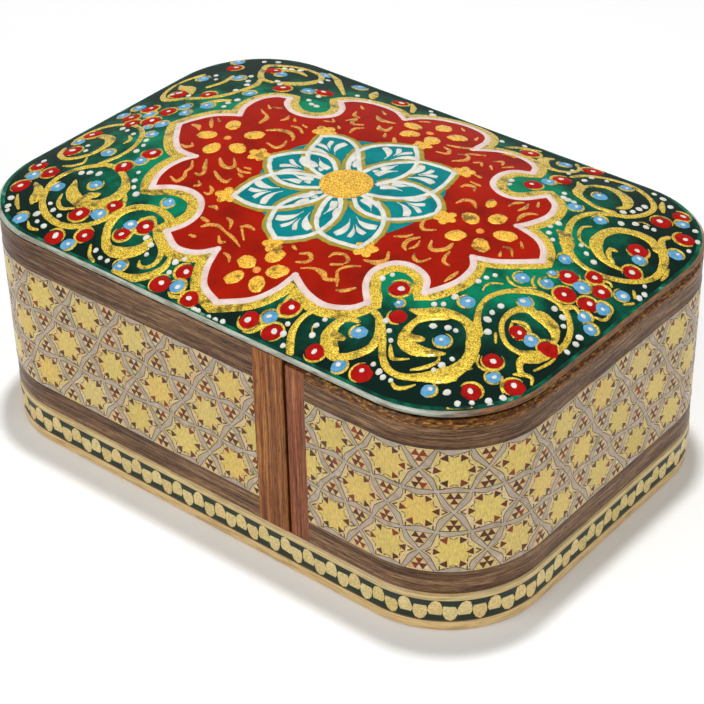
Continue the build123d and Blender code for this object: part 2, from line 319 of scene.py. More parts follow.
# Bone beads set in the dark band
bead_bone = tile_finish("pale_bone_beads", [
    (0.0, "#F2D88A"), (0.5, "#FCE6A2"), (0.8, "#FCDA94"), (1.0, "#F2DC96"),
], LACQUER, 0.4, 0.3)


# Mesh helpers


def make_piece(name, points, faces, body, finish, smooth=False):
    """A mesh object from points in millimetres, riding on a body."""
    mesh = bpy.data.meshes.new(name)
    mesh.from_pydata([tuple(c * MM for c in p) for p in points], [], faces)
    mesh.validate()
    mesh.materials.append(finish)
    if smooth:
        mesh.shade_smooth()
    piece = bpy.data.objects.new(name, mesh)
    bpy.context.scene.collection.objects.link(piece)
    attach(piece, body)
    return piece


def wall_point(s, z, out):
    """The point on the wall's outline at s, moved out from its face."""
    s = s % WALL_ROUND
    half_front, half_side = FRONT_FLAT / 2, SIDE_FLAT / 2
    stretches = (
        (half_front, (0, -WALL_WIDTH / 2), 0),
        (CORNER_ARC, (half_front, -half_side), -90),
        (SIDE_FLAT, (WALL_LENGTH / 2, -half_side), 90),
        (CORNER_ARC, (half_front, half_side), 0),
        (FRONT_FLAT, (half_front, WALL_WIDTH / 2), 180),
        (CORNER_ARC, (-half_front, half_side), 90),
        (SIDE_FLAT, (-WALL_LENGTH / 2, half_side), 270),
        (CORNER_ARC, (-half_front, -half_side), 180),
        (half_front, (-half_front, -WALL_WIDTH / 2), 0),
    )
    for number, (length, start, degrees) in enumerate(stretches):
        if s <= length or number == len(stretches) - 1:
            break
        s -= length
    if number % 2:
        angle = math.radians(degrees) + s / CORNER_RADIUS
        reach = CORNER_RADIUS + out
        return (start[0] + reach * math.cos(angle), start[1] + reach * math.sin(angle), z)
    angle = math.radians(degrees)
    along, outward = (math.cos(angle), math.sin(angle)), (math.sin(angle), -math.cos(angle))
    return (start[0] + along[0] * s + outward[0] * out, start[1] + along[1] * s + outward[1] * out, z)


def cut_polygon(polygon, axis, limit, keep_above):
    """The part of a convex polygon on one side of a line."""
    kept = []
    for here, there in zip(polygon, polygon[1:] + polygon[:1]):
        gap, next_gap = here[axis] - limit, there[axis] - limit
        if (gap >= 0) == keep_above:
            kept.append(here)
        if (gap >= 0) != (next_gap >= 0) and gap != next_gap:
            share = gap / (gap - next_gap)
            kept.append(tuple(a + share * (b - a) for a, b in zip(here, there)))
    return kept


def dome_faces(start, corners):
    """Faces of a low dome: two bands between three rings of points, and a fan to its top point."""
    faces = []
    for i in range(corners):
        j = (i + 1) % corners
        for ring in (0, corners):
            faces.append((start + ring + i, start + ring + j,
                          start + ring + corners + j, start + ring + corners + i))
        faces.append((start + 2 * corners + i, start + 2 * corners + j, start + 3 * corners))
    return faces


def is_round(s):
    """Whether s lies on a rounded corner."""
    s = s % WALL_ROUND
    half = WALL_ROUND / 2
    if s > half:
        s = WALL_ROUND - s
    front, side = FRONT_FLAT / 2, FRONT_FLAT / 2 + CORNER_ARC + SIDE_FLAT
    return front <= s <= front + CORNER_ARC or side <= s <= side + CORNER_ARC


class WallTiles:
    """Flat slices laid on the unrolled wall, cut to a window and bent round the corners."""

    SLICE = 0.9

    def __init__(self, window, out):
        self.window, self.out = window, out
        self.points, self.faces = [], []

    def add(self, polygon, out=0.0, known=None):
        """Lay one convex slice, its corners anticlockwise; parts that share known are one island."""
        known = {} if known is None else known
        s_low, s_high, z_low, z_high = self.window
        sides = ((0, s_low, True), (0, s_high, False), (1, z_low, True), (1, z_high, False))
        for axis, limit, above in sides:
            polygon = cut_polygon(polygon, axis, limit, above)
            if len(polygon) < 3:
                return
        first, last = min(p[0] for p in polygon), max(p[0] for p in polygon)
        cuts = []
        if is_round(first) or is_round(last) or last - first > CORNER_ARC:
            count = math.ceil((last - first) / self.SLICE)
            cuts = [first + (last - first) * i / count for i in range(1, count)]
        for low, high in zip([first] + cuts, cuts + [last]):
            part = cut_polygon(polygon, 0, low, True) if cuts else polygon
            part = cut_polygon(part, 0, high, False) if cuts and len(part) > 2 else part
            if len(part) < 3:
                continue
            face = []
            for s, z in part:
                key = (round(s, 5), round(z, 5))
                if key not in known:
                    known[key] = len(self.points)
                    self.points.append(wall_point(s, z, self.out + out))
                if known[key] not in face:
                    face.append(known[key])
            if len(face) > 2:
                self.faces.append(face)

    def finish(self, name, body, finish, slot):
        """Make the piece of all slices laid so far."""
        return make_piece(name, self.points, self.faces, body, finish)


# Star inlay of the walls

STARS_ROUND = 32
STAR_ROWS = 3
# The drawer and the case are veneered apart, so their patterns start at their own places
DRAWER_PHASE, CASE_PHASE = 30.85, 31.3
STAR_EDGE = WALL_ROUND / STARS_ROUND / 2
ROW_HEIGHT = (inlay_high.z - inlay_low.z) / STAR_ROWS
ROOT_3 = math.sqrt(3)
STAR_RISE = ROW_HEIGHT / ROOT_3
# The rods are true triangles, while the net of the straps is a little flatter than regular
ROD_SIDE = 1.3
ROD_GAP = 0.05
# A star's notches for the dark rods and between them, and its teeth
NOTCH_REACH = (2.34, 2.72)
TOOTH_REACH = (3.15, 3.45)
TOOTH_LEAN = 2.5
# Where the dark rod of each notch lies from the star's middle
TIP_PLACE = 3.0
STRAP_EDGE = 0.13


def on_wall(phase, u, v):
    """From the pattern's own net, whose edge is 1, to s and z on the wall."""
    return (phase + u * STAR_EDGE, inlay_low.z + v * STAR_RISE)


def star_parts(centre, draw):
    """Convex parts of a gold star with twelve teeth: six notches for the dark rods and six between them."""
    notches, teeth = [], []
    for i in range(12):
        notches.append(moved(centre, 30 * i, NOTCH_REACH[i % 2] + draw.uniform(-0.06, 0.06)))
        lean = (-TOOTH_LEAN, TOOTH_LEAN)[i % 2]
        teeth.append(moved(centre, 30 * i + 15 + lean, draw.uniform(*TOOTH_REACH)))
    parts = [[notches[i], teeth[i], notches[(i + 1) % 12]] for i in range(12)]
    return [[notches[i] for i in range(1, 12, 2)]] + parts + [
        [notches[i - 1], notches[i], notches[i + 1]] for i in range(0, 11, 2)]


def triangle(centre, reach, degrees):
    """An equilateral triangle whose first corner lies in a direction."""
    return [moved(centre, degrees + 120 * i, reach) for i in range(3)]


def rods(centre, side_count, degrees):
    """Middles of the pale and of the dark rod ends that build up a triangle."""
    height = ROD_SIDE * ROOT_3 / 2
    pale, dark = [], []
    for row in range(side_count):
        top = side_count * height * 2 / 3 - row * height
        for place in range(row + 1):
            side = (place - row / 2) * ROD_SIDE
            pale.append(moved(centre, degrees, top - height * 2 / 3, side))
            if place < row:
                dark.append(moved(centre, degrees, top - height / 3, side + ROD_SIDE / 2))
    return pale, dark


def strap(start, end, star, draw):
    """One bone strap from knot to knot: straight outside, swelling towards its star inside."""
    along = Vector((end[0] - start[0], end[1] - start[1]))
    length = along.length
    along.normalize()
    inward = Vector((-along.y, along.x))
    middle = (Vector(start) + Vector(end)) / 2
    if (Vector(star) - middle).dot(inward) < 0:
        inward = -inward
    swell, knee = draw.uniform(0.8, 1.12), draw.uniform(0.3, 0.7)
    outer = draw.uniform(0.12, 0.26)
    tilt = draw.uniform(-0.05, 0.05)
    rows = []
    for t, inside_reach, outside_reach in (
            (-0.05, 0.2, 0.22), (0.09, 0.34, 0.22), (knee - 0.17, swell * 0.8, outer),
            (knee, swell, outer - 0.1), (knee + 0.17, swell * 0.8, outer), (0.91, 0.34, 0.22),
            (1.05, 0.2, 0.22)):
        base = Vector(start) + along * (length * t) + inward * tilt
        rows.append((base + inward * inside_reach, base - inward * outside_reach))
    return rows


def lay_strap(tiles, rows, grow, out):
    """Lay the quads of one strap, widened by a margin."""
    for (in_a, out_a), (in_b, out_b) in zip(rows, rows[1:]):
        side_a, side_b = (in_a - out_a).normalized() * grow, (in_b - out_b).normalized() * grow
        quad = [out_a - side_a, out_b - side_b, in_b + side_b, in_a + side_a]
        area = sum(p.x * q.y - q.x * p.y for p, q in zip(quad, quad[1:] + quad[:1]))
        corners = [(p.x, p.y) for p in (quad if area > 0 else quad[::-1])]
        tiles.add(corners, out)


# Slices of the inlay from the glue up: how many veneer layers they lie over the panel, and their finish
INLAY_LAYERS = {
    "glue": (1.0, glue_line),
    "stars": (1.5, star_wood),
    "pale_rods": (2.0, pale_wood),
    "dark_rods": (2.3, dark_wood),
    "strap_edges": (2.6, strap_edge),
    "straps": (3.0, bone_strap),
}
# Rods on both sides of each dark tip: along and across it, and turned from it
TIP_RODS = ((0.76, 0.0, 0), (0.45, 0.78, 60), (0.45, -0.78, -60))


def star_inlay(body, phase, s_low, s_high):
    """All slices of the star inlay between two upright strips."""
    window = (s_low, s_high, inlay_low.z, inlay_high.z)
    draw = random.Random(11)
    layers = {name: WallTiles(window, VENEER_LAYER * lift) for name, (lift, _) in INLAY_LAYERS.items()}
    glue, stars, pale, dark, edges, straps = layers.values()
    glue.add([(s_low, inlay_low.z), (s_high, inlay_low.z), (s_high, inlay_high.z), (s_low, inlay_high.z)])
    first = math.floor((s_low - phase) / (2 * STAR_EDGE)) - 1
    last = math.ceil((s_high - phase) / (2 * STAR_EDGE)) + 1
    for row in range(-1, STAR_ROWS + 1):
        for number in range(first, last + 1):
            centre = (2 * number + (row % 2), (row + 0.5) * ROOT_3)
            star = on_wall(phase, *centre)
            for towards, turn in ((1, 90), (-1, 270)):
                cell = on_wall(phase, centre[0], centre[1] + towards * (ROOT_3 / 2 + ROOT_3 / 6))
                jiggle = (draw.uniform(-0.06, 0.06), draw.uniform(-0.06, 0.06))
                cell = (cell[0] + jiggle[0], cell[1] + jiggle[1])
                pale.add(triangle(cell, ROD_SIDE * ROOT_3 * 1.3, turn), -VENEER_LAYER * 0.4)
                glue.add(triangle(cell, ROD_SIDE * ROOT_3 * 1.02, turn), VENEER_LAYER * 0.8)
                pale_rods, dark_rods = rods(cell, 3, turn)
                for rod in pale_rods:
                    pale.add(triangle(rod, ROD_SIDE / ROOT_3 - ROD_GAP, turn))
                for rod in dark_rods:
                    dark.add(triangle(rod, ROD_SIDE / ROOT_3 * draw.uniform(1.12, 1.3), turn + 180))
            if not 0 <= row < STAR_ROWS:
                continue
            field = [on_wall(phase, *moved(centre, 60 * i, 1)) for i in range(6)]
            pale.add(field, -VENEER_LAYER * 0.8)
            one_star = {}
            for part in star_parts(star, draw):
                stars.add(part, VENEER_LAYER * 0.4, one_star)
            for i in range(6):
                tip = moved(star, 60 * i, TIP_PLACE)
                glue.add(triangle(moved(tip, 60 * i, 0.3), ROD_SIDE * 1.28, 60 * i), VENEER_LAYER * 0.8)
                for along, across, turn in TIP_RODS:
                    rod = moved(tip, 60 * i, along, across)
                    pale.add(triangle(rod, ROD_SIDE / ROOT_3 - ROD_GAP * 1.6, 60 * i + turn))
                dark.add(triangle(tip, ROD_SIDE / ROOT_3 * draw.uniform(1.08, 1.26),
                                  60 * i + 180 + draw.uniform(-9, 9)))
                rows = strap(field[i], field[(i + 1) % 6], star, draw)
                out = draw.uniform(0, 0.006)
                lay_strap(edges, rows, STRAP_EDGE, out)
                lay_strap(straps, rows, 0.0, out)
    for name, tiles in layers.items():
        tiles.finish("%s_inlay_%s" % (body, name), body, INLAY_LAYERS[name][1], "khatam_inlay")


drawer_edge = drawer_inlay_low.x
case_edge = inlay_high.x
star_inlay("drawer", DRAWER_PHASE, drawer_edge, WALL_ROUND / 2 - drawer_edge)
star_inlay("case", CASE_PHASE, WALL_ROUND / 2 - case_edge, WALL_ROUND + case_edge)

# Beads of the plinth

BEAD_PAIR = 5.23
BEAD_RISE = 0.6
BEAD_HALF = (1.29, 1.57)
# An upper bead, flat below and rounded above; a lower one is the same turned over
BEAD_SHAPE = (
    (-0.78, -1.0), (0.78, -1.0), (1.02, -0.55), (0.96, 0.15), (0.62, 0.78), (0.0, 1.02),
    (-0.62, 0.78), (-0.96, 0.15), (-1.02, -0.55),
)
pairs_round = round(WALL_ROUND / BEAD_PAIR)


def plinth_beads():
    """Bone beads in slanted pairs, upper left and lower right, all round the dark band."""
    draw = random.Random(5)
    middle_z = (plinth_low.z + plinth_high.z) / 2
    points, faces = [], []
    for number in range(pairs_round):
        for offset, rise in ((-0.25, BEAD_RISE), (0.25, -BEAD_RISE)):
            middle_s = (number + offset) * WALL_ROUND / pairs_round + draw.uniform(-0.08, 0.08)
            bead_z = middle_z + rise + draw.uniform(-0.05, 0.05)
            turned = math.copysign(1, rise)
            lean = draw.uniform(-0.12, 0.12)
            rim = []
            for across, up in BEAD_SHAPE:
                reach = draw.uniform(0.93, 1.05)
                rim.append((middle_s + turned * BEAD_HALF[0] * reach * (across + lean * up),
                            bead_z + turned * BEAD_HALF[1] * reach * up))
            faces += dome_faces(len(points), len(rim))
            for share, out in ((1.0, 0.0), (0.95, 0.06), (0.45, 0.09)):
                points += [wall_point(middle_s + (s - middle_s) * share, bead_z + (z - bead_z) * share,
                                      PLINTH_OUT + out) for s, z in rim]
            points.append(wall_point(middle_s, bead_z, PLINTH_OUT + 0.1))
    return make_piece("plinth_bone_beads", points, faces, "case", bead_bone)


plinth_beads()

# Shape of the lid's crown

# The panel's upright edge, its bevel and the crown's height, as in the part
LID_EDGE = 0.5
LID_BEVEL = 0.4
RIM_Z = lid_low.z + LID_EDGE
HALF_LENGTH = (lid_high.x - lid_low.x) / 2 - LID_BEVEL
HALF_WIDTH = (lid_high.y - lid_low.y) / 2 - LID_BEVEL
LID_CROWN = 7.0
RIM_ROUNDNESS = 2 * CORNER_RADIUS / WALL_WIDTH
# The paint stops this share of the way from the rim to the ridge
PAINT_MARGIN = 0.006
CROWN_HALVINGS = 26


def contour_size(step):
    """Half length, half width and corner radius of a contour, from the rim (0) to the ridge (1)."""
    width = HALF_WIDTH * (1 - step)
    return HALF_LENGTH - HALF_WIDTH * step, width, width * (RIM_ROUNDNESS + (1 - RIM_ROUNDNESS) * step)


def crown_heights(x, y):
    """Heights of the crown over its rim at many places, found by halving the step."""
    x, y = np.abs(x), np.abs(y)
    low, high = np.zeros_like(x), np.ones_like(x)
    for _ in range(CROWN_HALVINGS):
        step = (low + high) / 2
        length, width, radius = contour_size(step)
        gap = np.hypot(np.maximum(x - length + radius, 0), np.maximum(y - width + radius, 0))
        inside = (gap <= radius) & (x <= length) & (y <= width)
        low, high = np.where(inside, step, low), np.where(inside, high, step)
    return LID_CROWN * (1 - (1 - low) ** 2)


def kept_on_lid(flat):
    """Places on the lid, with those beyond the rim drawn back to it."""
    length, width, radius = contour_size(PAINT_MARGIN)
    straight = np.array([length - radius, width - radius])
    beyond = np.maximum(np.abs(flat) - straight, 0)
    reach = np.maximum(np.hypot(beyond[:, 0], beyond[:, 1]), 1e-9)
    share = np.minimum(1, radius / reach)[:, None]
    return np.sign(flat) * (np.minimum(np.abs(flat), straight) + beyond * share)


def smooth_path(points, closed=False, step=0.7):
    """A curve through points; a point with "tip" at its end stays sharp."""
    count = len(points)
    spans = count if closed else count - 1
    path = []
    for i in range(spans):
        start, end = points[i], points[(i + 1) % count]
        before = points[i - 1] if closed or i else start
        after = points[(i + 2) % count] if closed or i + 2 < count else end
        before = start if start[-1] == "tip" else before
        after = end if end[-1] == "tip" else after
        size = len(start) - 1 if start[-1] == "tip" else len(start)
        pieces = max(2, round(math.dist(start[:2], end[:2]) / step))
        for k in range(pieces):
            t = k / pieces
            place = []
            for axis in range(min(size, len(end) - (end[-1] == "tip"))):
                a, b, c, d = before[axis], start[axis], end[axis], after[axis]
                slope_in = (c - a) / 2 if before is not start else c - a
                slope_out = (d - b) / 2 if after is not end else d - b
                place.append((2 * t ** 3 - 3 * t ** 2 + 1) * b + (t ** 3 - 2 * t ** 2 + t) * slope_in
                             + (3 * t ** 2 - 2 * t ** 3) * c + (t ** 3 - t ** 2) * slope_out)
            path.append(tuple(place))
    if not closed:
        path.append(tuple(points[-1]))
    return path


def arc(x, y, radius, start, sweep, end_radius=None, step=0.6):
    """Points on an arc or a spiral about a centre, in degrees, anticlockwise for a positive sweep."""
    end_radius = radius if end_radius is None else end_radius
    count = max(4, math.ceil(abs(math.radians(sweep)) * radius / step))
    found = []
    for i in range(count + 1):
        t = i / count
        found.append(moved((x, y), start + sweep * t, radius + (end_radius - radius) * t))
    return found


def brush_stroke(t):
    """A stroke that starts thick and runs out to a point."""
    return (math.sin(math.pi * min(1, t + 0.18) ** 0.75) + 0.06) if t < 0.97 else 0.06


def crescent(t):
    """A stroke that is thick in the middle and pointed at both ends."""
    return 0.12 + 0.88 * math.sin(math.pi * t) ** 0.8


class Paint:
    """Strokes, dots and filled areas of one colour, laid on the crown at one layer's height."""

    FINE_LIFT = 0.003
    FINE_LIFTS = 7

    def __init__(self, name, finish, layer, relief=0.06):
        self.name, self.finish_material = name, finish
        self.lift, self.relief = PAINT_LAYER * layer, relief
        self.flat, self.heights, self.faces = [], [], []
        self.strokes = 0

    def start_stroke(self):
        """The first point's number, and this stroke's own height among those that it may cross."""
        self.strokes += 1
        return len(self.flat), self.lift + self.FINE_LIFT * (self.strokes % self.FINE_LIFTS)

    def line(self, path, width, shape=None, closed=False):
        """A ribbon with sloping sides; a third number at each place of the path is its own width."""
        start, base = self.start_stroke()
        count = len(path)
        for i, (x, y, *own) in enumerate(path):
            before = path[i - 1] if closed or i else path[i]
            after = path[(i + 1) % count] if closed or i + 1 < count else path[i]
            first = Vector((x - before[0], y - before[1]))
            second = Vector((after[0] - x, after[1] - y))
            first = first.normalized() if first.length > 1e-6 else second.normalized()
            second = second.normalized() if second.length > 1e-6 else first
            middle = first + second
            middle = middle.normalized() if middle.length > 1e-3 else first
            half = (max(own[0], 0.12) if own else width) / 2 / max(middle.dot(second), 0.7)
            if shape:
                half *= shape(i / (count - 1))
            side = Vector((-middle.y, middle.x)) * half
            for share, height in ((1, -base), (0.76, self.relief), (-0.76, self.relief), (-1, -base)):
                self.flat.append((x + side.x * share, y + side.y * share))
                self.heights.append(base + height)
        for i in range(count if closed else count - 1):
            here, there = start + 4 * i, start + 4 * ((i + 1) % count)
            for k in range(3):
                self.faces.append((here + k, here + k + 1, there + k + 1, there + k))
        if not closed:
            last = start + 4 * (count - 1)
            self.faces.append((start + 3, start + 2, start + 1, start))
            self.faces.append((last, last + 1, last + 2, last + 3))

    def brush(self, points, draw, step=0.45):
        """A stroke whose points carry its width, with the slightly uneven edge of a loaded brush."""
        path = [(x, y, w * draw.uniform(0.93, 1.07)) for x, y, w in smooth_path(points, step=step)]
        (ax, ay, aw), (bx, by, _) = path[0], path[1]
        (cx, cy, _), (dx, dy, dw) = path[-2], path[-1]
        for (x, y, w), (towards_x, towards_y), place in (
                ((ax, ay, aw), (ax - bx, ay - by), 0), ((dx, dy, dw), (dx - cx, dy - cy), len(path))):
            length = math.hypot(towards_x, towards_y) or 1
            reach = w * 0.42
            cap = (x + towards_x / length * reach, y + towards_y / length * reach, w * 0.45)
            path.insert(place if place == 0 else len(path), cap)
        self.line(path, 0)

    def dot(self, x, y, radius, corners=10, draw=None, stretch=1.0, turn=0.0):
        """A domed blob of paint."""
        start, base = self.start_stroke()
        rim = []
        for i in range(corners):
            angle = math.tau * i / corners
            reach = radius * (draw.uniform(0.9, 1.08) if draw else 1)
            along, across = reach * stretch * math.cos(angle), reach * math.sin(angle)
            rim.append((along * math.cos(turn) - across * math.sin(turn),
                        along * math.sin(turn) + across * math.cos(turn)))
        for share, height in ((1, -base), (0.86, self.relief * 0.6), (0.5, self.relief)):
            self.flat += [(x + a * share, y + b * share) for a, b in rim]
            self.heights += [base + height] * corners
        self.flat.append((x, y))
        self.heights.append(base + self.relief * 1.1)
        self.faces += dome_faces(start, corners)

    def area(self, outline, grid=2.5):
        """A filled area, cut into a grid so that it follows the crown."""
        start, base = self.start_stroke()
        work = bmesh.new()
        work.faces.new([work.verts.new((x, y, 0)) for x, y in outline])
        bmesh.ops.triangulate(work, faces=work.faces[:])
        for axis in (0, 1):
            low = min(p[axis] for p in outline)
            high = max(p[axis] for p in outline)
            normal = (1, 0, 0) if axis == 0 else (0, 1, 0)
            for k in range(math.ceil(low / grid), math.floor(high / grid) + 1):
                place = [0, 0, 0]
                place[axis] = k * grid
                parts = work.verts[:] + work.edges[:] + work.faces[:]
                bmesh.ops.bisect_plane(work, geom=parts, plane_co=place, plane_no=normal)
        work.verts.index_update()
        for vert in work.verts:
            self.flat.append((vert.co.x, vert.co.y))
            self.heights.append(base + self.relief * 0.3)
        for face in work.faces:
            corners = [start + v.index for v in face.verts]
            self.faces.append(corners if face.normal.z > 0 else corners[::-1])
        work.free()

    def finish(self):
        """Lay everything on the crown and make the piece."""
        flat = kept_on_lid(np.array(self.flat) + (self.lift + self.relief) * np.array(READ_SHIFT))
        heights = RIM_Z + crown_heights(flat[:, 0], flat[:, 1]) + np.array(self.heights)
        points = np.column_stack([flat, heights])
        return make_piece(self.name, points, self.faces, "case", self.finish_material,
                          smooth=True)


# Lacquer paints of the lid

# Under the clear coat the pigment has no air above it, so it hardly shines by itself
PAINT = {
    "Roughness": 0.6, "IOR": 1.5, "Specular IOR Level": 0.02, "Coat Weight": 0.08, "Coat Roughness": 0.03,
}


def brushed_paint(name, stops, clouds):
    """Opaque paint under clear lacquer, with the cloudy tone of a brushed coat."""
    material, tree, shader = new_finish(name, PAINT)
    cloud = grained(tree, clouds, 4.0, 0.6)
    tone = add_node(tree, "ShaderNodeValToRGB", {"stops": stops}, {"Fac": cloud})
    bump = add_node(tree, "ShaderNodeBump", {}, {"Height": cloud, "Distance": 0.02 * MM, "Strength": 0.3})
    set_inputs(tree, shader, {"Base Color": tone.outputs["Color"], "Normal": bump.outputs["Normal"]})
    return material


# Real flakes are about 0.03 mm, too fine to show, so they are drawn as coarse as the render needs
GOLD_FLAKE = 0.24


def gold_paint(name, dark, middle, light, metallic=0.25, patch="#8E8A50"):
    """Gold bronze powder in lacquer: small bright flakes among darker ones."""
    material, tree, shader = new_finish(name, {
        "Metallic": metallic, "Roughness": 0.45, "Specular IOR Level": 0.15, "Coat Weight": 0.25,
        "Coat Roughness": 0.04,
    })
    flakes = grained(tree, GOLD_FLAKE, 2.0, 0.75)
    broad = grained(tree, 2.2, 3.0, 0.6, 5.0)
    tone = add_node(tree, "ShaderNodeValToRGB", {
        "stops": [(0.38, dark), (0.48, middle), (0.6, light)],
    }, {"Fac": flakes})
    shade = add_node(tree, "ShaderNodeValToRGB", {
        "stops": [(0.33, patch), (0.46, "#FFFFFF")],
    }, {"Fac": broad})
    gold = add_node(tree, "ShaderNodeMix", MULTIPLIED, {
        MIX_FACTOR: 1.0, MIX_FIRST: tone.outputs["Color"], MIX_SECOND: shade.outputs["Color"],
    })
    bump = add_node(tree, "ShaderNodeBump", {}, {"Height": flakes, "Distance": 0.05 * MM, "Strength": 0.6})
    set_inputs(tree, shader, {"Base Color": gold.outputs[MIX_RESULT], "Normal": bump.outputs["Normal"]})
    return material


def green_ground():
    """Green lacquer ground: emerald round the medallion, nearly black towards the edge."""
    material, tree, shader = new_finish("green_lacquer_ground", PAINT)
    place = add_node(tree, "ShaderNodeTexCoord")
    oval = add_node(tree, "ShaderNodeMapping", {}, {
        "Vector": place.outputs["Object"],
        "Scale": (1 / (HALF_LENGTH * MM), 1 / (HALF_WIDTH * MM), 0.0),
    })
    reach = add_node(tree, "ShaderNodeVectorMath", {"operation": "LENGTH"}, {0: oval.outputs["Vector"]})
    cloud = grained(tree, 7.0, 4.0, 0.6)
    wander = add_node(tree, "ShaderNodeMath", {"operation": "MULTIPLY_ADD"}, {
        0: cloud, 1: 0.9, 2: reach.outputs["Value"],
    })
    fit = add_node(tree, "ShaderNodeMapRange", {}, {
        "Value": wander.outputs["Value"], "From Min": 0.9, "From Max": 1.7,
    })
    greens = [(0.0, "#02845C"), (0.26, "#027E58"), (0.42, "#03573F"), (0.56, "#033527"), (0.76, "#021C14")]
    tone = add_node(tree, "ShaderNodeValToRGB", {"stops": greens}, {"Fac": fit.outputs["Result"]})
    set_inputs(tree, shader, {"Base Color": tone.outputs["Color"]})
    return material


# Under the gold it turns from a clear emerald to a green that is nearly black
green_lacquer = green_ground()
# Thin bright green along the rim, where the dark ground was rubbed
rim_paint = brushed_paint("thin_green_rim_paint", [
    (0.34, "#02241C"), (0.48, "#034032"), (0.6, "#086A4C"), (0.76, "#8FB5A0"),
], (5.0, 5.0, 1.2))
# Vermilion: a deep, even red with soft clouds from the brush
VERMILION = [(0.3, "#7E1000"), (0.48, "#9C1500"), (0.7, "#B01A00")]
red_lacquer = brushed_paint("vermilion_paint", VERMILION, 9.0)
# White paint warmed by the red under it: a pinkish band
white_paint = brushed_paint("pinkish_white_paint", [(0.3, "#D8BCB2"), (0.6, "#EAD6CE")], 2.5)
# Thick cream paint: dots and petal lines that stand out nearly white
cream_paint = brushed_paint("cream_white_paint", [(0.3, "#CCCCC2"), (0.6, "#E6E4DA")], 2.0)
# Teal: a smooth blue green behind the white strokes
teal_paint = brushed_paint("teal_paint", [(0.3, "#026E74"), (0.6, "#028486")], 4.0)
# Olive wash of thin gold over teal: a soft shadow beside the petal lines
olive_paint = brushed_paint("olive_gold_wash", [(0.3, "#8A8A3E"), (0.7, "#B89C34")], 1.2)
# Gold so thin that the red comes through: it looks orange
orange_paint = gold_paint("thin_gold_on_red", "#A4520A", "#D08A20", "#F0B84C", 0.1)
# Opaque pale orange: small light hearts in the gold flowers
pale_orange = brushed_paint("pale_orange_paint", [(0.3, "#D87A30"), (0.6, "#F0A050")], 1.2)
# Crimson and sky blue: plain opaque drops of colour among the scrolls
bead_red = brushed_paint("crimson_bead_paint", [(0.3, "#8E0A06"), (0.6, "#B4110A")], 1.6)
bead_blue = brushed_paint("sky_blue_bead_paint", [(0.3, "#4A8CB6"), (0.6, "#6FAAD0")], 1.0)
# Gold bronze wash on green: a yellow that is greenish where the wash is thin
dull_gold = gold_paint("gold_bronze_wash", "#7C680C", "#C4A01C", "#F2D450")
# The same gold on red, and thick in the rosette's heart: warmer and brighter
petal_gold = gold_paint("gold_on_red_paint", "#B07408", "#EAAA1E", "#FFD450", 0.12)
heart_gold = gold_paint("gold_heart_paint", "#9E5E08", "#DCA21E", "#FFD850", 0.12, "#F4E8C8")

# Ground of the lid

CROWN_RINGS = 30


def rounded_ring(length, width, radius, z, arc_points=16, flat_points=14):
    """Points round a rounded rectangle at one height."""
    corners = ((length - radius, width - radius, 0), (radius - length, width - radius, 90),
               (radius - length, radius - width, 180), (length - radius, radius - width, 270))
    ring = []
    for place, (x, y, start) in enumerate(corners):
        for i in range(arc_points):
            ring.append((*moved((x, y), start + 90 * i / arc_points, radius), z))
        here = moved((x, y), start + 90, radius)
        there = moved(corners[(place + 1) % 4], start + 90, radius)
        for i in range(flat_points):
            t = i / flat_points
            ring.append((here[0] + (there[0] - here[0]) * t, here[1] + (there[1] - here[1]) * t, z))
    return ring


def ringed_piece(name, rings, finish, body="case", cap=False):
    """A smooth skin through rings of points, from the outermost ring inward."""
    around = len(rings[0])
    faces = []
    for number in range(1, len(rings)):
        low, high = (number - 1) * around, number * around
        for i in range(around):
            j = (i + 1) % around
            faces.append((low + i, low + j, high + j, high + i))
    if cap:
        faces.append(tuple(range((len(rings) - 1) * around, len(rings) * around)))
    return make_piece(name, [p for ring in rings for p in ring], faces, body, finish, smooth=True)


def lid_ground():
    """The green ground over the whole crown, and the paint rolled over the rounded rim."""
    rings = []
    for number in range(CROWN_RINGS):
        step = number / CROWN_RINGS
        length, width, radius = contour_size(step)
        height = LID_CROWN * (1 - (1 - step) ** 2)
        rings.append(rounded_ring(length, width, radius, RIM_Z + height + PAINT_LAYER))
    ringed_piece("lid_green_ground", rings, green_lacquer, cap=True)
    rim = []
    for step, lift in ((0, 1.0), (0.005, 1.6), (0.012, 1.6), (0.015, 0.9)):
        length, width, radius = contour_size(step)
        height = LID_CROWN * (1 - (1 - step) ** 2)
        rim.append(rounded_ring(length, width, radius, RIM_Z + height + PAINT_LAYER * lift))
    ringed_piece("lid_rim_paint", rim, rim_paint)


lid_ground()

# Medallion

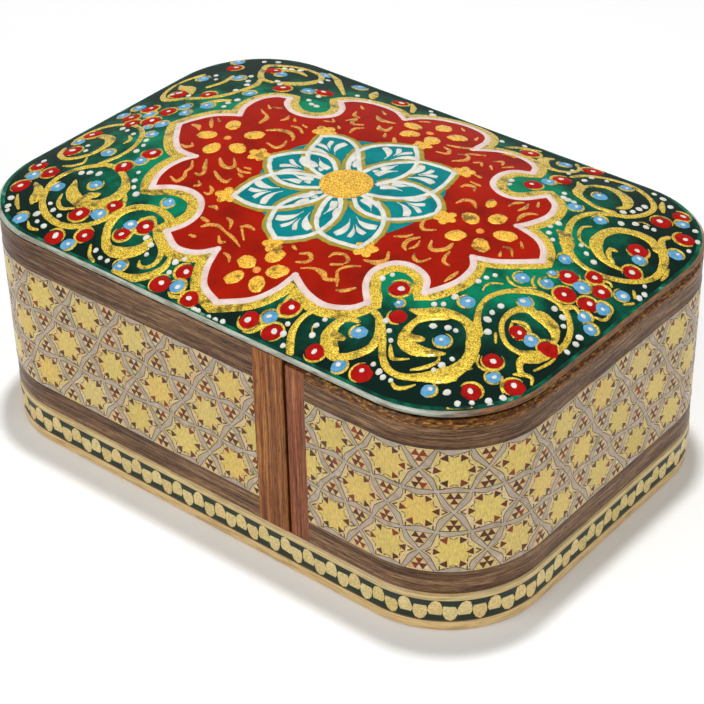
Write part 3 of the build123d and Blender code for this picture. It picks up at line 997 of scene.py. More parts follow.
MEDALLION = [
    (-40.3, -0.4, "tip"), (-38.9, 2.5), (-36.3, 5.7), (-32.2, 7.8, "tip"), (-34.1, 11.5), (-34.5, 16.0),
    (-33.0, 19.2), (-30.2, 20.3, "tip"), (-28.5, 17.4), (-24.7, 15.1), (-20.7, 15.9), (-18.5, 19.5),
    (-19.6, 23.4), (-22.6, 26.6, "tip"), (-21.4, 29.5), (-18.1, 31.6), (-13.2, 31.8), (-8.9, 29.4, "tip"),
    (-7.4, 34.0), (-3.5, 37.3), (0.7, 38.2), (5.0, 36.9), (7.7, 33.3), (9.0, 27.3, "tip"), (12.8, 31.2),
    (17.5, 31.8), (21.3, 29.9), (23.0, 26.8, "tip"), (20.3, 24.6), (19.7, 20.7), (21.3, 16.6), (24.9, 14.5),
    (28.3, 15.7), (30.8, 20.4, "tip"), (33.8, 18.3), (35.1, 14.4), (34.4, 10.2), (33.3, 7.5, "tip"),
    (37.8, 6.9), (40.6, 5.0), (42.1, 2.5, "tip"), (39.5, -0.7), (36.5, -3.7), (33.2, -5.5, "tip"),
    (34.9, -8.0), (35.2, -12.0), (34.2, -15.3), (32.6, -18.2, "tip"), (30.5, -15.1), (26.6, -14.0),
    (23.3, -15.4), (21.8, -18.7), (22.9, -22.1), (26.0, -25.5, "tip"), (24.2, -27.8), (20.0, -29.4),
    (15.2, -28.6), (10.7, -26.3, "tip"), (10.0, -30.4), (7.6, -34.3), (2.5, -37.5, "tip"), (-1.9, -35.7),
    (-4.4, -32.3), (-5.9, -27.8, "tip"), (-8.8, -30.2), (-13.0, -30.9), (-17.3, -28.7, "tip"),
    (-15.4, -25.6), (-15.3, -22.3), (-17.4, -19.3), (-20.7, -18.2), (-24.5, -18.9), (-28.1, -20.9, "tip"),
    (-29.6, -17.8), (-30.0, -14.5), (-29.2, -11.3), (-27.9, -9.4, "tip"), (-32.2, -8.9), (-35.5, -6.5),
    (-38.6, -2.8),
]
medallion_path = smooth_path(MEDALLION, closed=True)
MEDALLION_BAND = 1.4
# The gold line: how far out it runs, its widths, and the points of the path from one width to the next
GOLD_OUT = 1.3
GOLD_WIDTHS = (1.5, 2.5)
GOLD_SWELL = 12


def pushed_out(path, distance):
    """A clockwise path moved outward, for a line that runs beside another."""
    moved = []
    for i, (x, y) in enumerate(path):
        before, after = path[i - 1], path[(i + 1) % len(path)]
        side = Vector((before[1] - after[1], after[0] - before[0])).normalized()
        moved.append((x + side.x * distance, y + side.y * distance))
    return moved


def medallion():
    """Red field, white band and the gold line outside it."""
    draw = random.Random(2)
    gold = Paint("medallion_gold_line", dull_gold, 1, 0.05)
    outside = pushed_out(medallion_path, GOLD_OUT)
    swing = [draw.uniform(*GOLD_WIDTHS) for _ in range(len(outside) // GOLD_SWELL + 2)]
    widths = []
    for i in range(len(outside)):
        share = i % GOLD_SWELL / GOLD_SWELL
        # It is broader towards the front of the lid
        near = min(1, max(0, -outside[i][1] / 30)) * 0.7
        widths.append(swing[i // GOLD_SWELL] * (1 - share) + swing[i // GOLD_SWELL + 1] * share + near)
    gold.line([(x, y, w) for (x, y), w in zip(outside, widths)], 0, closed=True)
    gold.finish()
    field = Paint("medallion_red_field", red_lacquer, 4.4, 0.02)
    field.area(medallion_path)
    field.finish()
    band = Paint("medallion_white_band", white_paint, 5, 0.04)
    band.line(medallion_path, MEDALLION_BAND, closed=True)
    for x, y, *tip in MEDALLION:
        if tip:
            band.dot(x, y, 0.78, 12)
    band.finish()


medallion()

# Rosette

ROSETTE_CENTRE = (1.3, -0.8)
TEAL_DISC = (2.2, -0.7, 17.3)
HEART_RADIUS = 4.7
# Reach of the petal for which the white strokes in it are given
PETAL_REACH = 20
# Outlines of the rosette's petals, read from the photograph round the heart
ROSETTE_PETALS = (
    ((-1.4, 3.1), (-2.9, 4.9), (-4.3, 7.9), (-4.8, 10.8), (-4.1, 13.8), (-2.1, 16.6), (1.4, 19.3, "tip"),
     (3.4, 17.3), (5.6, 14.5), (7.2, 11.4), (7.6, 8.4), (7.2, 5.5), (5.9, 2.6)),
    ((1.1, 4.1), (1.4, 6.7), (2.4, 9.5), (4.5, 12.6), (6.8, 14.8), (10.4, 15.6), (13.5, 15.5, "tip"),
     (14.7, 12.0), (15.4, 8.5), (15.1, 4.9), (13.3, 2.0), (10.4, -0.1), (6.4, -1.6)),
    ((5.9, 2.0), (6.4, 3.3), (7.5, 4.9), (9.9, 6.1), (13.3, 6.2), (16.8, 5.3), (19.3, 3.3),
     (20.3, 0.9, "tip"), (19.3, -1.5), (17.2, -3.9), (14.5, -5.8), (10.9, -6.5), (7.9, -5.8), (5.6, -3.9)),
    ((6.1, -2.2), (8.1, -2.6), (11.1, -3.5), (13.6, -5.4), (15.4, -8.3), (16.2, -11.6),
     (15.8, -15.1, "tip"), (13.3, -15.5), (10.1, -15.8), (6.8, -15.1), (4.5, -13.1), (2.9, -10.1),
     (2.0, -7.4), (1.8, -5.5)),
    ((3.4, -5.2), (4.6, -6.4), (6.0, -8.6), (6.9, -11.5), (6.9, -14.5), (6.0, -17.1), (3.9, -19.2),
     (1.4, -20.6, "tip"), (-1.8, -18.6), (-3.3, -16.2), (-4.1, -13.3), (-3.5, -10.4), (-2.0, -7.5),
     (-0.4, -5.6)),
    ((0.8, -5.5), (0.4, -8.0), (-1.2, -10.9), (-3.5, -13.4), (-6.4, -15.1), (-9.6, -15.6),
     (-13.2, -15.2, "tip"), (-13.2, -12.1), (-12.9, -9.2), (-11.6, -6.2), (-9.4, -4.0), (-6.4, -2.7),
     (-3.4, -2.0)),
    ((-1.6, -4.5), (-2.9, -5.5), (-5.2, -6.8), (-8.5, -7.3), (-11.4, -6.4), (-13.9, -4.5),
     (-15.8, -2.0, "tip"), (-14.7, 0.2), (-12.6, 2.8), (-9.6, 4.5), (-6.7, 4.4), (-4.4, 2.9), (-2.8, 1.3)),
    ((-3.3, -1.5), (-4.1, -1.5), (-7.3, -0.4), (-10.2, 2.0), (-12.0, 4.9), (-12.9, 7.9),
     (-13.8, 10.4, "tip"), (-12.2, 12.0), (-9.4, 12.6), (-6.4, 11.4), (-4.2, 9.4), (-1.8, 6.6), (0.6, 4.0)),
)
# White strokes in each petal and in the lens between two: (along, across) each, and the width
PETAL_HOOKS = (
    (((11.4, 0.6), (13.0, 1.0), (14.6, 2.2), (15.3, 3.7)), 1.5),
    (((13.6, 0.2), (15.4, 0.5), (16.8, 1.4)), 1.0),
)
LENS_STROKES = (
    (((6.2, -0.4), (8.2, -0.2), (10.4, -1.1)), 1.6),
    (((8.2, 1.2), (9.8, 0.8), (11.8, 0.9)), 1.45),
    (((6.4, 1.0), (7.7, 0.9)), 1.0),
)


def rosette():
    """Eight overlapping petals on a teal disc, with a gold heart."""
    draw = random.Random(3)
    disc = Paint("rosette_teal_disc", teal_paint, 6, 0.01)
    disc.area(arc(*TEAL_DISC, 0, 357, step=1.2))
    fill = Paint("rosette_petal_fill", teal_paint, 6.4, 0.01)
    halo = Paint("rosette_olive_halo", olive_paint, 7, 0.02)
    lines = Paint("rosette_petal_lines", cream_paint, 8, 0.05)
    strokes = Paint("rosette_petal_strokes", cream_paint, 8.4, 0.05)
    turns = []
    for outline in ROSETTE_PETALS:
        path = smooth_path(outline)
        fill.area(path, 3.0)
        halo.line([(x, y, draw.uniform(0.8, 1.5)) for x, y in pushed_out(path, 0.75)[1:-1]], 0)
        lines.line([(x, y, draw.uniform(0.95, 1.25)) for x, y in path], 0)
        tip = [p for p in outline if len(p) == 3][0]
        turn = math.degrees(math.atan2(tip[1] - ROSETTE_CENTRE[1], tip[0] - ROSETTE_CENTRE[0]))
        turns.append((turn, math.dist(tip[:2], ROSETTE_CENTRE) - PETAL_REACH))
    for number, (turn, reach) in enumerate(turns):
        for side, sway in ((1, draw.uniform(-0.7, 0.5)), (-1, draw.uniform(-0.5, 0.9))):
            for hook, size in PETAL_HOOKS:
                path = [moved(ROSETTE_CENTRE, turn, r + reach + sway, side * w) for r, w in hook]
                strokes.line(smooth_path(path, step=0.4), size * draw.uniform(0.95, 1.2),
                             lambda t: brush_stroke(1 - t))
        gap = (turns[(number + 1) % 8][0] - turn) % -360
        lens = turn + gap / 2
        for points, width in LENS_STROKES:
            path = [moved(ROSETTE_CENTRE, lens, r, w) for r, w in points]
            strokes.line(smooth_path(path, step=0.4), width, brush_stroke)
    for paint in (disc, fill, halo, lines, strokes):
        paint.finish()
    heart = Paint("rosette_gold_heart", heart_gold, 12, 0.08)
    heart.area(arc(*ROSETTE_CENTRE, HEART_RADIUS, 0, 345, step=1.0), 1.2)
    heart.line(arc(*ROSETTE_CENTRE, HEART_RADIUS, 0, 350), 0.5, closed=True)
    heart.finish()


rosette()

# Flowers and strokes on the red field

# Each petal: its place, its half length and half width, and the direction it points
PETALS = (
    (0.9, -27.7, 2.1, 1.7, 170), (1.4, -31.6, 2.0, 1.7, 240), (6.1, -31.1, 2.3, 1.6, 305),
    (7.3, -27.0, 2.2, 1.8, 35), (4.4, -24.2, 2.1, 1.7, 70), (25.9, 3.6, 2.2, 1.7, 150),
    (27.1, -2.4, 2.2, 1.7, 240), (29.5, 6.7, 2.2, 1.7, 85), (33.5, 3.5, 2.4, 1.7, 25),
    (32.1, -1.8, 2.2, 1.7, 320), (25.5, 10.2, 1.7, 1.1, 110), (-30.2, 3.8, 2.2, 1.7, 120),
    (-31.8, -1.8, 2.3, 1.7, 190), (-27.3, -5.4, 2.2, 1.7, 270), (-23.1, -2.9, 2.2, 1.7, 330),
    (-23.9, 2.7, 2.2, 1.7, 45), (-1.6, 32.1, 2.3, 1.8, 110), (3.3, 30.0, 2.2, 1.8, 45),
    (1.3, 24.5, 2.2, 1.7, 300), (-3.4, 23.9, 2.2, 1.7, 240), (-5.6, 27.8, 2.2, 1.7, 170),
)
# Small gold stars at the tips of the rosette's petals: place, size and turn
STARS = (
    (22.4, 0.9, 1.15, 0), (16.9, -14.7, 1.2, 25), (-14.4, -15.6, 1.2, 50), (-14.8, 12.5, 1.25, 10),
    (-18.3, -2.4, 1.15, 30), (14.4, 17.0, 1.2, 40), (1.7, 21.2, 1.0, 15), (2.0, -21.8, 1.1, 60),
)
HEARTS = ((3.8, -28.4), (29.5, 1.5), (-27.4, -0.9), (-1.3, 27.4))
# Orange strokes on the red field: (x, y, width) along each
FIELD_STROKES = (
    # Front
    ((7.9, -21.6, 0.5), (9.3, -20.8, 0.9), (10.5, -21.7, 0.9), (10.2, -22.8, 0.8), (8.7, -23.6, 0.4)),
    ((10.5, -24.4, 0.3), (12.4, -23.4, 0.6), (14.6, -23.5, 1.4), (16.0, -24.4, 0.9), (18.0, -23.6, 0.8)),
    ((19.2, -18.9, 0.3), (17.3, -20.1, 0.7), (16.5, -21.7, 0.6), (17.6, -23.3, 0.7), (18.8, -24.8, 0.5)),
    ((19.4, -25.7, 0.3), (20.6, -25.2, 1.0), (21.9, -23.8, 0.6)),
    ((12.9, -19.7, 0.3), (13.2, -18.5, 0.8), (15.0, -17.9, 0.7), (16.4, -18.8, 0.8), (16.3, -19.7, 0.3)),
    ((14.4, -21.1, 0.6), (16.2, -20.1, 0.5)), ((5.6, -20.7, 0.8), (6.6, -21.1, 0.5)),
    ((18.7, -17.3, 0.4), (20.3, -16.8, 0.8), (21.8, -15.3, 0.7), (20.9, -13.4, 0.4)),
    ((-12.4, -24.7, 0.5), (-11.6, -23.7, 1.0), (-9.8, -23.1, 0.8), (-7.7, -23.7, 0.6), (-5.5, -24.2, 0.8),
     (-2.7, -25.4, 0.3)),
    ((-7.9, -25.2, 0.5), (-6.7, -26.2, 0.8), (-5.9, -25.8, 0.4)),
    ((-14.0, -22.9, 0.7), (-12.4, -23.1, 0.9)), ((-12.8, -27.4, 0.6), (-11.8, -27.3, 0.7)),
    ((-9.8, -20.7, 0.5), (-8.5, -21.1, 0.9), (-7.5, -22.7, 0.3)),
    ((-6.1, -21.3, 0.4), (-5.1, -20.5, 0.9), (-3.5, -20.7, 0.5)), ((-5.5, -21.7, 0.6), (-3.3, -23.7, 0.4)),
    ((-4.1, -28.0, 0.4), (-2.9, -28.2, 0.8), (-1.9, -29.2, 0.4)),
    # Right
    ((28.3, -4.9, 0.6), (28.4, -6.6, 1.2), (27.2, -8.2, 1.1), (25.9, -8.1, 0.9), (25.0, -6.5, 0.5)),
    ((22.7, -7.0, 0.5), (21.7, -8.6, 1.0), (21.9, -10.3, 1.0), (23.0, -11.2, 0.5)),
    ((23.4, -7.8, 0.3), (23.8, -9.3, 0.7), (23.3, -10.6, 0.3)),
    ((24.9, -11.2, 0.3), (25.6, -12.2, 0.9), (27.0, -12.4, 0.7), (27.9, -10.6, 0.3)),
    ((29.3, -7.0, 0.4), (29.6, -8.8, 0.8), (30.3, -9.9, 0.8), (31.6, -10.1, 0.4)),
    ((33.7, -10.6, 0.5), (33.6, -12.2, 1.0), (33.5, -13.9, 0.4)),
    ((21.1, -13.4, 0.4), (21.9, -15.2, 0.9), (21.2, -16.9, 0.9), (18.9, -17.3, 0.3)),
    ((20.0, -1.5, 0.4), (20.6, -3.6, 0.8), (21.9, -4.6, 0.8), (23.6, -3.4, 0.3)),
    ((21.0, 6.0, 0.4), (21.3, 7.8, 1.0), (22.8, 8.4, 1.1), (24.5, 7.1, 0.5)),
    ((17.9, 11.6, 0.5), (18.2, 12.8, 1.1), (19.5, 13.2, 1.0), (20.6, 11.9, 0.4)),
    ((17.9, 14.5, 0.4), (20.0, 14.3, 0.7)), ((28.3, 11.8, 0.4), (28.5, 13.5, 0.8), (29.3, 14.7, 0.6)),
    ((30.3, 14.9, 0.4), (30.7, 13.5, 0.9), (30.4, 11.7, 0.4)),
    ((33.5, 13.2, 0.4), (32.3, 12.2, 0.9), (31.9, 10.5, 1.0), (32.3, 8.8, 0.4)),
    ((31.2, 16.9, 0.5), (31.9, 15.6, 0.7)), ((35.2, 0.6, 0.3), (36.4, 1.0, 0.7), (37.8, -0.3, 0.4)),
    ((35.7, -0.9, 0.4), (36.2, -1.8, 0.8)), ((36.6, 3.9, 0.5), (37.6, 2.9, 0.7)),
    ((18.9, -9.2, 0.4), (20.6, -8.1, 0.8), (21.2, -7.0, 0.4)), ((16.2, 17.5, 0.4), (18.0, 17.3, 0.9)),
    # Left
    ((-23.3, 5.5, 0.5), (-21.5, 7.1, 1.2), (-19.3, 7.5, 1.3), (-17.4, 6.4, 0.8), (-16.8, 5.3, 0.3)),
    ((-17.5, 4.5, 0.3), (-16.9, 2.8, 0.9), (-17.5, 1.3, 0.9), (-19.8, 1.7, 0.4)),
    ((-28.1, 10.9, 0.5), (-26.9, 9.6, 1.1), (-26.5, 7.4, 0.9)),
    ((-30.3, 12.0, 0.3), (-29.0, 11.2, 0.7), (-27.8, 10.7, 0.3)), ((-30.7, 14.5, 0.4), (-29.5, 13.6, 0.8)),
    ((-29.4, 14.3, 0.3), (-27.6, 15.0, 0.6)), ((-24.2, 13.0, 0.4), (-23.7, 11.8, 0.9), (-24.0, 10.5, 0.4)),
    ((-22.6, 12.9, 0.4), (-22.0, 12.1, 0.8)), ((-20.8, 9.9, 0.4), (-19.3, 10.2, 0.8), (-17.4, 9.0, 0.6)),
    ((-19.6, 11.7, 0.4), (-18.4, 11.4, 0.7)), ((-36.0, 4.0, 0.4), (-34.7, 2.5, 0.9), (-33.2, 0.9, 0.5)),
    ((-34.8, 4.5, 0.3), (-33.7, 3.7, 0.7)), ((-37.4, 0.3, 0.9), (-36.0, 0.2, 1.3), (-34.7, -0.9, 0.4)),
    ((-33.5, -7.2, 0.4), (-32.1, -7.5, 1.0), (-31.2, -6.7, 0.8), (-32.0, -5.8, 0.3)),
    ((-23.3, -7.6, 0.6), (-21.5, -9.0, 1.1), (-19.8, -9.1, 1.1), (-19.4, -7.9, 0.8), (-21.1, -6.2, 0.4)),
    ((-18.4, -8.3, 0.4), (-17.0, -8.8, 0.8), (-15.4, -8.2, 0.5)), ((-17.0, -9.6, 0.4), (-15.9, -9.9, 0.8)),
    ((-17.4, -7.4, 0.4), (-16.2, -7.2, 0.6)),
    ((-25.2, -9.2, 0.4), (-24.0, -11.0, 1.0), (-22.8, -12.5, 0.9), (-22.9, -13.6, 0.9), (-23.9, -13.7, 0.4)),
    ((-27.2, -10.9, 0.4), (-25.9, -12.6, 0.8), (-25.9, -14.1, 0.7), (-25.0, -15.6, 1.0),
     (-25.3, -17.3, 0.9), (-27.2, -16.8, 0.4)),
    ((-21.2, -11.4, 0.5), (-19.8, -12.2, 0.9), (-18.2, -12.8, 0.9), (-17.1, -12.7, 0.9),
     (-17.0, -11.7, 0.4)),
    ((-21.6, -15.3, 0.4), (-20.8, -16.0, 0.9), (-21.4, -16.7, 0.5)),
    ((-18.8, -15.3, 0.4), (-17.7, -16.0, 0.9), (-17.4, -17.2, 0.7), (-18.5, -17.3, 0.3)),
    ((-14.9, -19.9, 0.4), (-13.9, -19.4, 0.9), (-12.9, -19.8, 0.4)),
    # Back
    ((-15.3, 19.4, 0.3), (-14.6, 21.4, 0.9), (-14.4, 20.3, 0.9), (-13.3, 19.0, 0.9), (-11.8, 20.2, 0.5)),
    ((-10.8, 19.0, 0.4), (-11.7, 17.4, 0.9), (-11.1, 15.4, 0.4)), ((-14.5, 16.1, 0.5), (-13.8, 15.5, 0.8)),
    ((-17.5, 18.0, 0.4), (-16.5, 17.0, 0.7), (-18.0, 16.1, 0.4)),
    ((-13.0, 26.0, 0.6), (-11.6, 25.1, 1.5), (-10.0, 25.3, 1.1), (-8.5, 25.9, 0.4)),
    ((-9.6, 22.3, 0.4), (-8.5, 21.2, 1.5), (-7.2, 21.6, 1.1), (-7.6, 23.7, 0.5)),
    ((-17.0, 24.5, 0.4), (-16.1, 22.8, 0.9), (-14.6, 22.5, 0.5)), ((-18.6, 27.9, 0.4), (-17.4, 27.0, 0.8)),
    ((-14.4, 29.3, 0.4), (-13.0, 28.4, 0.8)), ((-6.4, 20.2, 0.4), (-5.6, 18.9, 0.9)),
    ((-3.8, 19.6, 0.8), (-2.6, 18.2, 1.2)),
    ((5.0, 23.6, 0.4), (6.5, 23.1, 0.9), (7.3, 21.5, 0.9), (5.4, 20.6, 0.4)),
    ((8.8, 22.9, 0.4), (10.3, 23.8, 0.7), (11.4, 21.8, 1.1), (10.1, 19.4, 0.5)),
    ((9.7, 24.2, 0.4), (10.5, 25.1, 0.8), (12.3, 26.6, 0.5)),
    ((13.1, 21.9, 0.4), (14.0, 22.9, 0.8), (15.0, 21.8, 0.4)),
    ((15.2, 25.3, 0.4), (16.2, 26.7, 0.9), (17.2, 25.2, 0.4)), ((16.1, 23.1, 0.7), (17.3, 21.9, 0.4)),
    ((18.0, 24.3, 0.4), (18.9, 26.0, 0.8)),
    ((4.5, 25.0, 0.4), (6.1, 25.6, 1.0), (8.0, 27.0, 0.7), (8.7, 28.2, 0.3)),
    ((-6.6, 31.0, 0.4), (-5.4, 32.6, 0.8)), ((0.1, 35.7, 0.4), (1.2, 34.8, 0.8)),
    ((5.3, 33.8, 0.4), (5.9, 32.3, 0.8)),
)


def flowers():
    """Gold flowers in the lobes on the axes, and small gold stars round the rosette."""
    draw = random.Random(8)
    gold = Paint("medallion_gold_flowers", petal_gold, 6, 0.09)
    hearts = Paint("medallion_flower_hearts", pale_orange, 6, 0.09)
    for x, y, length, width, facing in PETALS:
        gold.dot(x, y, width, 12, draw, length / width, math.radians(facing))
    for x, y, size, turn in STARS:
        for number in range(5):
            facing = turn + 72 * number
            gold.dot(*moved((x, y), facing, size), size * 0.86, 9, draw, 1.25, math.radians(facing))
    for x, y in HEARTS:
        hearts.dot(x, y, 0.85, 9, draw)
    gold.finish()
    hearts.finish()


def inside(x, y, path):
    """Whether a place lies inside a closed path."""
    within = False
    for (ax, ay), (bx, by) in zip(path, path[1:] + path[:1]):
        if (ay > y) != (by > y) and x < ax + (y - ay) / (by - ay) * (bx - ax):
            within = not within
    return within


# Small strokes scattered where the field is bare: radius, sweep and end radius of each kind
SMALL_STROKES = {"comma": (1.6, 130, 1.1), "hook": (1.4, 235, 0.9), "curl": (1.8, 190, 0.8)}
# Where they are tried, how often, and how far they keep from what is there
SCATTER_X, SCATTER_Y = (-40, 40), (-30, 37)
SCATTER_TRIES = 3200
SCATTER_ROOM = {"strokes": 3.0, "flowers": 3.2, "edge": 2.2, "rosette": 22.0}


def tendrils():
    """Orange hooks and commas over the red field, with small ones scattered between them."""
    draw = random.Random(21)
    paint = Paint("medallion_orange_strokes", orange_paint, 6, 0.05)
    taken = []
    for points in FIELD_STROKES:
        paint.brush(points, draw, 0.3)
        taken += [p[:2] for p in points]
    petals = [p[:2] for p in PETALS + STARS + HEARTS]
    around = {"strokes": taken, "flowers": petals, "edge": medallion_path[::3], "rosette": [ROSETTE_CENTRE]}
    for _ in range(SCATTER_TRIES):
        x, y = draw.uniform(*SCATTER_X), draw.uniform(*SCATTER_Y)
        near = [math.dist((x, y), p) < room for kind, room in SCATTER_ROOM.items() for p in around[kind]]
        if any(near) or not inside(x, y, medallion_path):
            continue
        size, facing = draw.uniform(0.8, 1.2), draw.uniform(0, 360)
        radius, sweep, end_radius = SMALL_STROKES[draw.choice(("comma", "hook", "curl", "comma"))]
        points = arc(x, y, radius * size, facing, sweep, end_radius * size, 0.3)
        taken.append((x, y))
        paint.line(points, draw.uniform(0.85, 1.15), brush_stroke)
    paint.finish()


flowers()
tendrils()

# Scrolls and beads on the green ground

